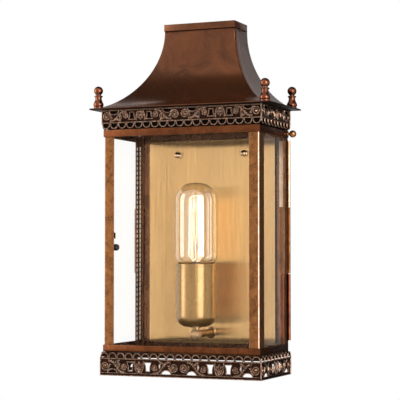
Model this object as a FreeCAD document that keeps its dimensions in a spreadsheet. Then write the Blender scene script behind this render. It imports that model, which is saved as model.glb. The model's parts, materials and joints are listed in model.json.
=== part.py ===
import FreeCAD, Part
import math
import os
import types

import Sketcher

# Wall lantern: a flared copper roof and a floor on a flat back plate, and between them a
# three-sided glazed cage that swings out on a hinge at the left rear corner.
# Millimetres. +X is to the right, -Y comes off the wall, +Z is up, and the wall face is Y = 0.

Vector = FreeCAD.Vector

# Driving dimensions
SIZES = {
    # stack of levels, from the lower edge upwards
    "base_drop": 155.8,           # lower edge below the origin
    "low_border": 3.4,            # plain border of the lower gallery
    "low_filigree": 15.6,         # pierced band of the lower gallery
    "top_border": 1.4,            # plain border of the upper gallery
    "top_filigree": 13.3,         # pierced band of the upper gallery
    "gallery_bar": 1.6,           # bar between filigree and scallops
    "scallop_leg": 1.2,           # straight foot of a scallop
    "cage_clear": 0.7,            # play above and below the swinging cage
    "cage_height": 257.6,
    "roof_rise": 96.5,
    "cap_height": 8.0,
    # plan
    "cage_half": 96.3,            # half the width over the posts
    "cage_front": 97.0,           # front of the posts off the wall
    "low_proud": 3.1,             # lower gallery past the posts, at each side
    "low_ahead": 3.3,             # lower gallery past the posts, at the front
    "top_proud": 3.0,             # upper gallery past the posts, at each side
    "top_ahead": 0.8,
    "eave_proud": 16.2,           # eaves past the posts, at each side
    "eave_ahead": 8.5,
    "crown_half": 44.9,           # half the width of the roof's top edge
    "crown_front": 41.2,
    "cap_proud": 0.5,             # cap band past the roof's top edge
    # sheet
    "plate_sheet": 1.2,
    "plate_inset": 0.3,           # back plate's edge inside the posts' faces
    "roof_sheet": 0.9,
    "soffit_sheet": 0.8,
    "frame_sheet": 1.0,           # head frame and floor tray
    "gallery_sheet": 1.0,
    "roof_fall": 0.56,            # pull of the roof's curve at its crown, as a share of its height
    "roof_reach": 0.39,           # pull of the curve at the eaves, as a share of its reach
    "floor_lip": 4.5,
    # gallery ornament
    "front_panels": 2,
    "front_scallops": 19,
    "side_panels": 1,
    "side_scallops": 9,
    "scallop_rim": 1.45,
    "vase_offset": 11.0,
    "vase_wide": 7.0,
    "vase_narrow": 4.0,
    "vase_waist": 0.8,            # waist, as a share of the narrow end
    "vase_margin": 2.6,
    "crescent_offset": 27.5,
    "crescent_tall": 7.6,
    "crescent_wide": 3.4,
    "crescent_hollow": 0.85,      # crescent's inner side off its chord
    "moon_offset": 34.0,
    "moon_half": 4.2,
    "moon_tall": 3.6,
    # finials
    "finial_inset": 8.5,          # finial's axis inside the eaves, at each side
    "finial_setback": 7.6,        # finial's axis off the front eave and off the wall
    "finial_height": 26.3,
    "finial_ball_r": 5.4,
    "finial_neck_r": 3.3,
    "finial_collar_r": 4.6,
    "finial_collar_tall": 2.4,
    "finial_waist_r": 3.2,
    "finial_bell_r": 6.1,
    "finial_bell_tall": 6.6,
    "finial_waist_tall": 1.5,
    "finial_foot_edge": 5.0,
    # cage
    "post_sheet": 1.0,
    "post_front_leg": 12.1,
    "post_side_leg": 16.0,
    "stile_side_leg": 12.0,
    "stile_rear_leg": 6.0,
    "cage_back": 2.8,             # rear edge of the cage off the wall
    "rail_sheet": 1.0,
    "top_rail_tall": 8.4,
    "bottom_rail_tall": 7.7,
    "pane": 2.0,
    "pane_lap": 4.0,              # pane behind each rail
    "clip_sheet": 0.8,
    "clip_reach": 0.7,            # clip tip past the post's inner edge
    "clip_level": 134.2,          # clip's middle above the cage's lower edge
    "clip_tip_tall": 7.0,
    "clip_drop": 17.6,
    "clip_arm": 12.0,
    "clip_screw_r": 3.9,
    "clip_screw_tall": 6.8,       # straight part under the screw's dome
    "clip_screw_level": 120.6,
    # hinge and closing lips
    "barrel_r": 2.5,
    "barrel_off": 3.0,            # barrel's axis past the posts' faces
    "barrel_y": 2.7,
    "barrel_low": 11.9,           # barrel's lower end above the cage's lower edge
    "barrel_top": 11.7,           # barrel's upper end below the cage's upper edge
    "barrel_gap": 0.4,
    "lip_r": 1.7,
    "lip_off": 2.0,               # closing lips' axis past the posts' faces
    "pin_r": 1.2,
    "pin_play": 0.05,
    "pin_head_r": 2.0,
    "pin_head_tall": 1.4,
    "leaf_sheet": 1.0,
    "leaf_reach": 13.0,
    # pull
    "pull_long": 17.8,
    "pull_tall": 8.0,
    "pull_sheet": 0.8,
    "pull_from_back": 0.4,
    "knob_from_back": 5.2,
    "knob_r": 4.3,
    "knob_shank_r": 1.7,
    "knob_shank": 2.6,
    # reflector
    "reflector_margin": 15.6,     # reflector's edge inside the posts' faces
    "reflector_rise": 6.4,        # reflector's lower edge above the cage's
    "reflector_drop": 8.2,        # reflector's upper edge below the cage's
    "reflector_sheet": 0.8,
    "reflector_off": 4.4,         # its back off the wall
    "stud_spread": 86.0,
    "stud_from_top": 16.9,
    "stud_r": 1.9,
    "stud_shoulder_r": 3.5,
    "stud_reach": 3.4,
    "hole_play": 0.15,
    "nut_r": 4.0,
    "nut_skirt": 2.0,
    # lamp
    "lamp_y": 50.0,
    "arm_level": 47.1,
    "arm_r": 4.5,
    "arm_bore_r": 3.0,
    "flange_r": 7.0,
    "flange_sheet": 2.0,
    "arm_ball_r": 7.0,
    "arm_into_ball": 2.4,
    "nipple_into_ball": 2.5,
    "nipple_r": 4.0,
    "nipple_bore_r": 2.8,
    "nipple_collar_r": 6.0,
    "nipple_collar_tall": 1.6,
    "nipple_in": 4.0,             # nipple past the cover's floor
    "cover_lift": 1.7,            # cover's foot above the arm's ball
    "cover_r": 23.25,
    "cover_tall": 73.2,
    "cover_round": 13.0,
    "cover_sheet": 0.8,
    "insert_r": 19.0,
    "insert_foot_r": 8.0,
    "insert_foot": 12.0,          # height of the tapered foot
    "insert_drop": 11.2,          # lampholder's mouth below the cover's rim
    "socket_depth": 36.0,
    "socket_play": 0.3,
    "bulb_cap_r": 13.3,
    "bulb_cap_tall": 27.0,
    "bulb_cap_lift": 3.0,         # cap's tip above the socket's floor
    "bulb_tip_r": 5.0,
    "bulb_tip_tall": 4.0,
    "bulb_r": 25.0,
    "bulb_neck_r": 12.6,
    "bulb_neck": 15.0,
    "bulb_length": 111.9,
    "bulb_crown": 17.0,
    "bulb_wall": 0.9,
    "stem_r": 5.0,
    "stem_top_r": 3.0,
    "stem_tall": 38.0,
    "stem_rod_r": 1.2,
    "stem_rod": 60.0,
    "filament_wires": 10,
    "filament_r": 0.35,
    "filament_top_r": 8.0,
    "filament_low_r": 9.0,
    "filament_tall": 68.0,
    "filament_low": 27.0,
    # wall fixing
    "screw_spread": 120.0,
    "screw_hole_r": 2.75,
}

doc = FreeCAD.newDocument("wall_lantern")
sheet = doc.addObject("Spreadsheet::Sheet", "sizes")
for row, (alias, number) in enumerate(SIZES.items(), start=1):
    sheet.set(f"A{row}", alias.replace("_", " "))
    sheet.set(f"B{row}", str(number))
    sheet.setAlias(f"B{row}", alias)
doc.recompute()


class Size:
    """A driving dimension, or a sum of them: its value now and the formula that keeps it live."""

    def __init__(self, value, formula):
        self.value = value
        self.formula = formula

    @staticmethod
    def of(number):
        return number if isinstance(number, Size) else Size(float(number), repr(float(number)))

    def __add__(self, other):
        other = Size.of(other)
        return Size(self.value + other.value, f"({self.formula} + {other.formula})")

    def __sub__(self, other):
        other = Size.of(other)
        return Size(self.value - other.value, f"({self.formula} - {other.formula})")

    def __mul__(self, other):
        other = Size.of(other)
        return Size(self.value * other.value, f"({self.formula} * {other.formula})")

    def __truediv__(self, other):
        other = Size.of(other)
        return Size(self.value / other.value, f"({self.formula} / {other.formula})")

    def __neg__(self):
        return Size(-self.value, f"(0 - {self.formula})")


size = types.SimpleNamespace(
    **{alias: Size(float(sheet.get(alias)), f"sizes.{alias}") for alias in SIZES}
)
ZERO = Size(0.0, "0")

# Plan, off the cage
low_half = size.cage_half + size.low_proud
low_front = size.cage_front + size.low_ahead
top_half = size.cage_half + size.top_proud
top_front = size.cage_front + size.top_ahead
eave_half = size.cage_half + size.eave_proud
eave_front = size.cage_front + size.eave_ahead
reflector_half = size.cage_half - size.reflector_margin
barrel_x = size.cage_half + size.barrel_off
lip_x = size.cage_half + size.lip_off
barrel_length = size.cage_height - size.barrel_low - size.barrel_top

# Levels, from the wall origin
base = -size.base_drop
scallop_r = low_half / size.front_scallops
low_gallery_tall = size.low_border + size.low_filigree + size.gallery_bar + size.scallop_leg + scallop_r
floor_top = base + low_gallery_tall
cage_low = floor_top + size.cage_clear
cage_top = cage_low + size.cage_height
head_low = cage_top + size.cage_clear
top_gallery_tall = size.top_border + size.top_filigree + size.gallery_bar + size.scallop_leg + scallop_r
soffit_low = head_low + top_gallery_tall
eave_level = soffit_low + size.soffit_sheet
crown_level = eave_level + size.roof_rise
cap_level = crown_level + size.cap_height
top_rail_low = cage_top - size.top_rail_tall
plate_front = -size.plate_sheet
lamp_y = -size.lamp_y
arm_level = base + size.arm_level
cover_level = arm_level + size.arm_ball_r + size.cover_lift
cover_floor = cover_level + size.cover_sheet
reflector_low = cage_low + size.reflector_rise
reflector_top = cage_top - size.reflector_drop
stud_level = reflector_top - size.stud_from_top
reflector_back = -size.reflector_off
reflector_front = reflector_back - size.reflector_sheet
floor_low = floor_top - size.floor_lip - size.frame_sheet

SIDES = (("left", -1), ("right", 1))

nodes = []


def keep(thing, label):
    """Names a finished sub-part, which is then written to its own file."""
    thing.Label = label
    nodes.append(thing)
    return thing


def bind(thing, prop, measure):
    """Ties one property of an object to its formula."""
    thing.setExpression(prop, Size.of(measure).formula)


def put(thing, x, y, z):
    """Ties an object's place to formulas."""
    for axis, measure in zip("xyz", (x, y, z)):
        bind(thing, f"Placement.Base.{axis}", measure)
    return thing


def box(name, low, high):
    """A block between two corners."""
    block = doc.addObject("Part::Box", name)
    for prop, start, end in zip(("Length", "Width", "Height"), low, high):
        bind(block, prop, Size.of(end) - start)
    return put(block, *low)


TURN = {
    "x": FreeCAD.Rotation(Vector(0, 1, 0), 90),
    "y": FreeCAD.Rotation(Vector(1, 0, 0), -90),
    "z": FreeCAD.Rotation(),
}


def rod(name, radius, start, length, along="z"):
    """A cylinder from a start point towards +X, +Y or +Z."""
    bar = doc.addObject("Part::Cylinder", name)
    bind(bar, "Radius", radius)
    bind(bar, "Height", length)
    bar.Placement.Rotation = TURN[along]
    return put(bar, *start)


PAST = Size.of(1.0)  # a cutting tool runs this far past the faces it cuts


def drill(name, radius, x, z, front, back):
    """A tool for a round hole along Y through a wall between two faces."""
    return rod(name, radius, (x, front - PAST, z), back - front + PAST * 2, "y")


def ball(name, radius, centre):
    sphere = doc.addObject("Part::Sphere", name)
    bind(sphere, "Radius", radius)
    return put(sphere, *centre)


def dome(name, radius, centre, facing):
    """Half a ball on a flat face, its crown towards a direction."""
    half = doc.addObject("Part::Sphere", name)
    bind(half, "Radius", radius)
    half.Angle1 = 0
    half.Placement.Rotation = FreeCAD.Rotation(Vector(0, 0, 1), facing)
    return put(half, *centre)


def fuse(name, shapes):
    joined = doc.addObject("Part::MultiFuse", name)
    joined.Shapes = shapes
    joined.Refine = True
    return joined


def cut(name, base_shape, tool):
    """The base without the tool, or without several tools joined."""
    left = doc.addObject("Part::Cut", name)
    left.Base = base_shape
    left.Tool = tool if not isinstance(tool, list) else fuse(f"{name}_tools", tool)
    left.Refine = True
    return left


def group(name, shapes):
    """Separate solids that share one node."""
    together = doc.addObject("Part::Compound", name)
    together.Links = shapes
    return together


class Arc:
    """Marks the stretch from one corner to the next as an arc of a radius, turning left or right."""

    def __init__(self, radius, left):
        self.radius = radius
        self.left = left


LEFT, RIGHT = True, False


def round_edge(start, end, bend):
    """The arc between two corners, which takes the short way round."""
    chord = end - start
    radius = bend.radius.value
    rise = math.sqrt(max(radius ** 2 - (chord.Length / 2) ** 2, 0.0))
    across = Vector(-chord.y, chord.x, 0).normalize()
    centre = (start + end) * 0.5 + across * (rise if bend.left else -rise)
    first, last = (start, end) if bend.left else (end, start)
    angles = [math.atan2(p.y - centre.y, p.x - centre.x) for p in (first, last)]
    return Part.ArcOfCircle(Part.Circle(centre, Vector(0, 0, 1), radius), *angles)


def outline(body, plane, points):
    """A closed sketch of lines and arcs whose corners and radii are tied to formulas."""
    sketch = body.newObject("Sketcher::SketchObject", f"{body.Name}_outline")
    support = next(f for f in body.Origin.OriginFeatures if f.Role == plane)
    sketch.AttachmentSupport = [(support, "")]
    sketch.MapMode = "FlatFace"
    corners = [Vector(Size.of(p[0]).value, Size.of(p[1]).value, 0) for p in points]
    bends = [p[2] if len(p) > 2 else None for p in points]
    count = len(corners)
    for i, bend in enumerate(bends):
        start, end = corners[i], corners[(i + 1) % count]
        edge = round_edge(start, end, bend) if bend else Part.LineSegment(start, end)
        sketch.addGeometry(edge, False)
    # a right-hand arc runs backwards, so its first end is the later corner
    heads = [2 if bend and not bend.left else 1 for bend in bends]

    def tie(measure, *constraint):
        place = sketch.addConstraint(Sketcher.Constraint(*constraint, Size.of(measure).value))
        sketch.setExpression(f"Constraints[{place}]", Size.of(measure).formula)

    for i in range(count):
        following = (i + 1) % count
        sketch.addConstraint(
            Sketcher.Constraint("Coincident", i, 3 - heads[i], following, heads[following])
        )
    for i, point in enumerate(points):
        tie(point[0], "DistanceX", -1, 1, i, heads[i])
        tie(point[1], "DistanceY", -1, 1, i, heads[i])
        if bends[i]:
            tie(bends[i].radius, "Radius", i)
    return sketch


def folded(name, points, low, tall):
    """Sheet folded to a plan outline, standing from a level."""
    body = doc.addObject("PartDesign::Body", name)
    sketch = outline(body, "XY_Plane", points)
    pad = body.newObject("PartDesign::Pad", f"{name}_pad")
    pad.Profile = sketch
    bind(pad, "Length", tall)
    return put(body, ZERO, ZERO, low)


def turned(name, points, x, y, z):
    """A revolved piece: its half section as radius and height, about a vertical axis."""
    body = doc.addObject("PartDesign::Body", name)
    sketch = outline(body, "XZ_Plane", points)
    spin = body.newObject("PartDesign::Revolution", f"{name}_spin")
    spin.Profile = sketch
    spin.ReferenceAxis = (sketch, ["V_Axis"])
    spin.Angle = 360
    return put(body, x, y, z)


def formed(name, shape):
    """A piece whose curves come from formulas that read the sheet."""
    piece = doc.addObject("Part::Feature", name)
    piece.Shape = shape
    return piece


def mirror_points(points):
    return [(-x, y) for x, y in points]


# Roof: one flared profile for the front and the sides, mitred where they meet
def flare(crown, eave, low, top):
    """The roof's curve from its crown edge down and out to the eaves, as (across, up) poles."""
    fall, reach = size.roof_fall.value, size.roof_reach.value
    return [
        (crown, top),
        (crown, top - fall * (top - low)),
        (eave - reach * (eave - crown), low),
        (eave, low),
    ]


def curve(poles, place):
    bend = Part.BezierCurve()
    bend.setPoles([place(a, b) for a, b in poles])
    return bend.toShape()


def lines(points, place):
    return [Part.makeLine(place(*p), place(*q)) for p, q in zip(points, points[1:])]


def across_wall(a, b):
    return Vector(a, 0, b)


def off_wall(a, b):
    return Vector(0, -a, b)


def roof_form(inset, drop):
    """The solid under the roof's surface, moved in and down by the sheet for the inside."""
    low = eave_level.value
    lift = low + size.roof_sheet.value - drop
    top = crown_level.value - drop
    eave = eave_half.value - inset
    crown = size.crown_half.value - inset
    right = flare(crown, eave, lift, top)
    left = [(-a, b) for a, b in reversed(right)]
    feet = [(eave, lift), (eave, low), (-eave, low), (-eave, lift)]
    edges = [
        curve(right, across_wall),
        *lines(feet if drop == 0 else [(eave, low), (-eave, low)], across_wall),
        curve(left, across_wall),
        *lines([(-crown, top), (crown, top)], across_wall),
    ]
    reach = eave_front.value
    front_view = Part.Face(Part.Wire(edges)).extrude(Vector(0, -reach, 0))
    wall = size.plate_sheet.value
    eave_out = eave_front.value - inset
    crown_out = size.crown_front.value - inset
    front = flare(crown_out, eave_out, lift, top)
    foot = [(eave_out, lift), (eave_out, low), (wall, low), (wall, top), (crown_out, top)]
    edges = [curve(front, off_wall), *lines(foot if drop == 0 else foot[1:], off_wall)]
    half = eave_half.value
    side_view = Part.Face(Part.Wire(edges)).extrude(Vector(2 * half, 0, 0))
    side_view.translate(Vector(-half, 0, 0))
    return front_view.common(side_view)


roof_outside = roof_form(0.0, 0.0)
roof_inside = roof_form(size.roof_sheet.value, size.roof_sheet.value)
keep(formed("roof_shell", roof_outside.cut(roof_inside)), "roof_shell")

cap_half = size.crown_half + size.cap_proud
cap_front = -(size.crown_front + size.cap_proud)
cap_block = box("cap_block", (-cap_half, cap_front, crown_level), (cap_half, plate_front, cap_level))
cap_hollow = box(
    "cap_hollow",
    (-cap_half + size.roof_sheet, cap_front + size.roof_sheet, crown_level),
    (cap_half - size.roof_sheet, plate_front, cap_level - size.roof_sheet),
)
keep(cut("roof_cap", cap_block, cap_hollow), "roof_cap")

keep(
    box(
        "soffit_plate",
        (-eave_half, -eave_front, soffit_low),
        (eave_half, plate_front, eave_level),
    ),
    "soffit_plate",
)

# Back plate: a tall sheet whose head follows the roof
plate_half = (size.cage_half - size.plate_inset).value
head_curve = flare(
    size.crown_half.value,
    eave_half.value,
    eave_level.value + size.roof_sheet.value,
    crown_level.value,
)
plate_right = [
    (eave_half.value, eave_level.value + size.roof_sheet.value),
    (eave_half.value, soffit_low.value),
    (plate_half, soffit_low.value),
    (plate_half, floor_low.value),
]
plate_top = [(-size.crown_half.value, crown_level.value), (-size.crown_half.value, cap_level.value)]
plate_edges = [
    curve(head_curve, across_wall),
    *lines(plate_right + [(-a, b) for a, b in reversed(plate_right)], across_wall),
    curve([(-a, b) for a, b in reversed(head_curve)], across_wall),
    *lines(plate_top + [(-a, b) for a, b in reversed(plate_top)], across_wall),
]
plate_blank = formed(
    "plate_blank", Part.Face(Part.Wire(plate_edges)).extrude(Vector(0, -size.plate_sheet.value, 0))
)
plate_holes = [
    drill(f"screw_hole_{side}", size.screw_hole_r, size.screw_spread / 2 * sign, ZERO, plate_front, ZERO)
    for side, sign in SIDES
]
arm_hole_r = size.arm_r + size.hole_play
plate_holes.append(drill("arm_hole", arm_hole_r, ZERO, arm_level, plate_front, ZERO))
keep(cut("back_plate", plate_blank, plate_holes), "back_plate")

# Head frame behind the upper gallery, and the floor tray behind the lower one
head_half = top_half - size.gallery_sheet
head_front = -(top_front - size.gallery_sheet)
head_block = box(
    "head_block",
    (-head_half, head_front, head_low + size.cage_clear),
    (head_half, plate_front, soffit_low),
)
head_hollow = box(
    "head_hollow",
    (-head_half + size.frame_sheet, head_front + size.frame_sheet, head_low),
    (head_half - size.frame_sheet, plate_front - size.frame_sheet, eave_level),
)
keep(cut("head_frame", head_block, head_hollow), "head_frame")

floor_half = low_half - size.gallery_sheet
floor_front = -(low_front - size.gallery_sheet)
floor_block = box("floor_block", (-floor_half, floor_front, floor_low), (floor_half, plate_front, floor_top))
floor_hollow = box(
    "floor_hollow",
    (-floor_half + size.frame_sheet, floor_front + size.frame_sheet, floor_low + size.frame_sheet),
    (floor_half - size.frame_sheet, plate_front + size.frame_sheet, floor_top + size.frame_sheet),
)
keep(cut("floor_tray", floor_block, floor_hollow), "floor_tray")


# Galleries: pierced strips of scrollwork with a scalloped edge
def closed(edges):
    return Part.Face(Part.Wire(edges))


def arc(start, middle, end):
    return Part.Arc(Vector(*start, 0), Vector(*middle, 0), Vector(*end, 0)).toShape()


def line(start, end):
    return Part.makeLine(Vector(*start, 0), Vector(*end, 0))


def pierced(points):
    """An opening with straight sides through these corners."""
    corners = [Vector(*p, 0) for p in points]
    return Part.Face(Part.makePolygon(corners + corners[:1]))


HOLE_SIDES = 5  # straight sides that round the head of a small opening


def round_head(middle, low, half, tall):
    """Corners of an arched head from its right foot over to its left foot."""
    turns = [math.pi * i / HOLE_SIDES for i in range(HOLE_SIDES + 1)]
    return [(middle + half * math.cos(t), low + tall * math.sin(t)) for t in turns]


def scallop_hole(middle, low, radius, leg):
    feet = [(middle - radius, low), (middle + radius, low)]
    return pierced(feet + round_head(middle, low + leg, radius, radius))


def vase_hole(middle, low, tall):
    """A vase-shaped opening, narrow at the plain border and wide at the bar."""
    narrow, wide = size.vase_narrow.value / 2, size.vase_wide.value / 2
    waist = narrow * size.vase_waist.value
    right = [(narrow, low), (waist, low + tall / 2), (wide, low + tall)]
    left = [(-across, up) for across, up in reversed(right)]
    return pierced([(middle + across, up) for across, up in right + left])


def crescent_hole(middle, centre, bulge):
    half = size.crescent_tall.value / 2
    deep, hollow = size.crescent_wide.value, size.crescent_hollow.value
    turns = [math.pi * (i / HOLE_SIDES - 0.5) for i in range(HOLE_SIDES + 1)]
    outer = [(middle + bulge * deep * math.cos(t), centre + half * math.sin(t)) for t in turns]
    inner = [(middle + bulge * hollow, centre)]
    return pierced(outer + inner)


def moon_hole(middle, low):
    return pierced(round_head(middle, low, size.moon_half.value, size.moon_tall.value))


def gallery_strip(length, panels, scallops, border, filigree):
    """A strip that lies flat: plain border at zero, scallops up, its middle at zero."""
    pitch = length / scallops
    radius = pitch / 2
    bar_top = border + filigree + size.gallery_bar.value
    shoulder = bar_top + size.scallop_leg.value
    left = -length / 2
    right = -left
    edges = [
        line((left, shoulder), (left, 0)),
        line((left, 0), (right, 0)),
        line((right, 0), (right, shoulder)),
    ]
    holes = []
    for i in range(scallops):
        middle = right - (i + 0.5) * pitch
        crest = (middle, shoulder + radius)
        edges.append(arc((middle + radius, shoulder), crest, (middle - radius, shoulder)))
        leg = size.scallop_leg.value
        holes.append(scallop_hole(middle, bar_top, radius - size.scallop_rim.value, leg))
    strip = closed(edges)
    margin = size.vase_margin.value
    centre = border + filigree / 2
    for p in range(panels):
        middle = left + (p + 0.5) * length / panels
        for side in (-1, 1):
            vase = middle + side * size.vase_offset.value
            crescent = middle + side * size.crescent_offset.value
            moon = middle + side * size.moon_offset.value
            holes.append(vase_hole(vase, border + margin, filigree - 2 * margin))
            holes.append(crescent_hole(crescent, centre + margin / 2, -side))
            holes.append(moon_hole(moon, border))
    return strip.cut(Part.makeCompound(holes)).extrude(Vector(0, 0, size.gallery_sheet.value))


# A strip is turned to stand on the front, the left or the right, and over for the upper gallery
STANDING = {
    "front": FreeCAD.Rotation(Vector(1, 0, 0), 90),
    "left": FreeCAD.Rotation(Vector(0, 0, 1), -90) * FreeCAD.Rotation(Vector(1, 0, 0), 90),
    "right": FreeCAD.Rotation(Vector(0, 0, 1), 90) * FreeCAD.Rotation(Vector(1, 0, 0), 90),
}
OVER = FreeCAD.Rotation(Vector(0, 0, 1), 180)


def gallery(name, half, front, border, filigree, level, over):
    sheet_t = size.gallery_sheet.value
    back = size.plate_sheet.value
    side_length = front - sheet_t - back
    side_middle = -(front - sheet_t + back) / 2
    wide = (2 * half, size.front_panels, size.front_scallops)
    deep = (side_length, size.side_panels, size.side_scallops)
    strips = {
        "front": (wide, Vector(0, -front + sheet_t, level)),
        "left": (deep, Vector(-half + sheet_t, side_middle, level)),
        "right": (deep, Vector(half - sheet_t, side_middle, level)),
    }
    for side, ((length, panels, scallops), place) in strips.items():
        shape = gallery_strip(length, int(panels.value), int(scallops.value), border, filigree)
        strip = formed(f"{name}_{side}", shape)
        spin = STANDING[side] * OVER if over else STANDING[side]
        strip.Placement = FreeCAD.Placement(place, spin)
        keep(strip, f"{name}_{side}")


gallery(
    "lower_gallery",
    low_half.value,
    low_front.value,
    size.low_border.value,
    size.low_filigree.value,
    base.value,
    False,
)
gallery(
    "upper_gallery",
    top_half.value,
    top_front.value,
    size.top_border.value,
    size.top_filigree.value,
    soffit_low.value,
    True,
)

# Finials: turned, with their feet shaped to the roof
roof_block = formed("roof_block", roof_outside)
bell_top = size.finial_foot_edge + size.finial_bell_tall
collar_foot = bell_top + size.finial_waist_tall
collar_top = collar_foot + size.finial_collar_tall
ball_middle = size.finial_height - size.finial_ball_r
# the ball's outline meets the neck at this height below its middle
neck_drop = Size(
    math.sqrt(size.finial_ball_r.value ** 2 - size.finial_neck_r.value ** 2),
    f"sqrt({size.finial_ball_r.formula} ^ 2 - {size.finial_neck_r.formula} ^ 2)",
)
finial_section = [
    (ZERO, ZERO),
    (size.finial_bell_r, ZERO),
    (size.finial_bell_r, size.finial_foot_edge),
    (size.finial_waist_r, bell_top),
    (size.finial_waist_r, collar_foot),
    (size.finial_collar_r, collar_foot + size.finial_collar_tall / 2),
    (size.finial_neck_r, collar_top),
    (size.finial_neck_r, ball_middle - neck_drop, Arc(size.finial_ball_r, LEFT)),
    (size.finial_ball_r, ball_middle, Arc(size.finial_ball_r, LEFT)),
    (ZERO, size.finial_height),
]
for row, y in (("front", -eave_front + size.finial_setback), ("rear", -size.finial_setback)):
    for side, sign in SIDES:
        name = f"finial_{row}_{side}"
        x = (eave_half - size.finial_inset) * sign
        turning = turned(f"{name}_turning", finial_section, x, y, eave_level + size.roof_sheet)
        keep(cut(name, turning, roof_block), name)

# Reflector on two shouldered studs
reflector_blank = box(
    "reflector_blank",
    (-reflector_half, reflector_front, reflector_low),
    (reflector_half, reflector_back, reflector_top),
)
stud_hole_r = size.stud_r + size.hole_play
reflector_faces = (reflector_front, reflector_back)
reflector_holes = [
    drill(f"stud_hole_{side}", stud_hole_r, size.stud_spread / 2 * sign, stud_level, *reflector_faces)
    for side, sign in SIDES
]
reflector_holes.append(drill("arm_pass", arm_hole_r, ZERO, arm_level, *reflector_faces))
keep(cut("reflector", reflector_blank, reflector_holes), "reflector")

studs, nuts = [], []
for side, sign in SIDES:
    x = size.stud_spread / 2 * sign
    shoulder = rod(
        f"stud_shoulder_{side}",
        size.stud_shoulder_r,
        (x, reflector_back, stud_level),
        size.reflector_off - size.plate_sheet,
        "y",
    )
    stud_tip = reflector_front - size.stud_reach
    shank = rod(f"stud_shank_{side}", size.stud_r, (x, stud_tip, stud_level), plate_front - stud_tip, "y")
    studs.append(fuse(f"stud_{side}", [shoulder, shank]))
    skirt_front = reflector_front - size.nut_skirt
    skirt = rod(f"nut_skirt_{side}", size.nut_r, (x, skirt_front, stud_level), size.nut_skirt, "y")
    crown = dome(f"nut_crown_{side}", size.nut_r, (x, skirt_front, stud_level), Vector(0, -1, 0))
    thread = rod(
        f"nut_thread_{side}",
        size.stud_r + size.pin_play,
        (x, stud_tip - size.pin_play, stud_level),
        size.stud_reach + PAST,
        "y",
    )
    nuts.append(cut(f"nut_{side}", fuse(f"nut_blank_{side}", [skirt, crown]), thread))
keep(group("reflector_studs", studs), "reflector_studs")
keep(group("reflector_nuts", nuts), "reflector_nuts")

# Lamp arm: a tube through the back plate to a ball, and a nipple up to the holder
ball_seat = lamp_y + size.arm_ball_r - size.arm_into_ball
arm_tube = rod("arm_tube", size.arm_r, (ZERO, ball_seat, arm_level), -ball_seat, "y")
arm_bore = drill("arm_bore", size.arm_bore_r, ZERO, arm_level, ball_seat, ZERO)
keep(cut("lamp_arm", arm_tube, arm_bore), "lamp_arm")

flange_front = reflector_front - size.flange_sheet
flange_disc = rod("flange_disc", size.flange_r, (ZERO, flange_front, arm_level), size.flange_sheet, "y")
arm_seat_r = size.arm_r + size.pin_play
flange_hole = drill("flange_hole", arm_seat_r, ZERO, arm_level, flange_front, reflector_front)
keep(cut("arm_flange", flange_disc, flange_hole), "arm_flange")

nipple_low = arm_level + size.arm_ball_r - size.nipple_into_ball
nipple_top = cover_floor + size.nipple_in
ball_blank = ball("arm_ball_blank", size.arm_ball_r, (ZERO, lamp_y, arm_level))
ball_arm_seat = rod("ball_arm_seat", arm_seat_r, (ZERO, ball_seat, arm_level), size.arm_ball_r, "y")
nipple_seat_r = size.nipple_r + size.pin_play
ball_nipple_seat = rod("ball_nipple_seat", nipple_seat_r, (ZERO, lamp_y, nipple_low), size.arm_ball_r)
keep(cut("arm_ball", ball_blank, [ball_arm_seat, ball_nipple_seat]), "arm_ball")

collar_low = cover_level - size.nipple_collar_tall
keep(
    turned(
        "holder_nipple",
        [
            (size.nipple_bore_r, nipple_low),
            (size.nipple_r, nipple_low),
            (size.nipple_r, collar_low),
            (size.nipple_collar_r, collar_low),
            (size.nipple_collar_r, cover_level),
            (size.nipple_r, cover_level),
            (size.nipple_r, nipple_top),
            (size.nipple_bore_r, nipple_top),
        ],
        ZERO,
        lamp_y,
        ZERO,
    ),
    "holder_nipple",
)

# Holder cover: a brass cup with a rounded foot
cover_top = cover_level + size.cover_tall
cover_bore = size.cover_r - size.cover_sheet
keep(
    turned(
        "holder_cover",
        [
            (nipple_seat_r, cover_level),
            (size.cover_r - size.cover_round, cover_level, Arc(size.cover_round, LEFT)),
            (size.cover_r, cover_level + size.cover_round),
            (size.cover_r, cover_top),
            (cover_bore, cover_top),
            (cover_bore, cover_level + size.cover_round, Arc(size.cover_round - size.cover_sheet, RIGHT)),
            (size.cover_r - size.cover_round, cover_floor),
            (nipple_seat_r, cover_floor),
        ],
        ZERO,
        lamp_y,
        ZERO,
    ),
    "holder_cover",
)

# Lampholder: a stepped body that screws on the nipple and takes the bulb's cap
insert_top = cover_top - size.insert_drop
socket_floor = insert_top - size.socket_depth
socket_r = size.bulb_cap_r + size.socket_play
keep(
    turned(
        "holder_insert",
        [
            (nipple_seat_r, cover_floor),
            (size.insert_foot_r, cover_floor),
            (size.insert_r, cover_floor + size.insert_foot),
            (size.insert_r, insert_top),
            (socket_r, insert_top),
            (socket_r, socket_floor),
            (nipple_seat_r, socket_floor),
        ],
        ZERO,
        lamp_y,
        ZERO,
    ),
    "holder_insert",
)

# Bulb: screw cap, clear tube, stem and a caged filament
cap_low = socket_floor + size.bulb_cap_lift
cap_shell_low = cap_low + size.bulb_tip_tall
cap_top = cap_low + size.bulb_cap_tall
keep(
    turned(
        "bulb_cap",
        [
            (ZERO, cap_low),
            (size.bulb_tip_r, cap_low),
            (size.bulb_cap_r, cap_shell_low),
            (size.bulb_cap_r, cap_top),
            (ZERO, cap_top),
        ],
        ZERO,
        lamp_y,
        ZERO,
    ),
    "bulb_cap",
)

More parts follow.
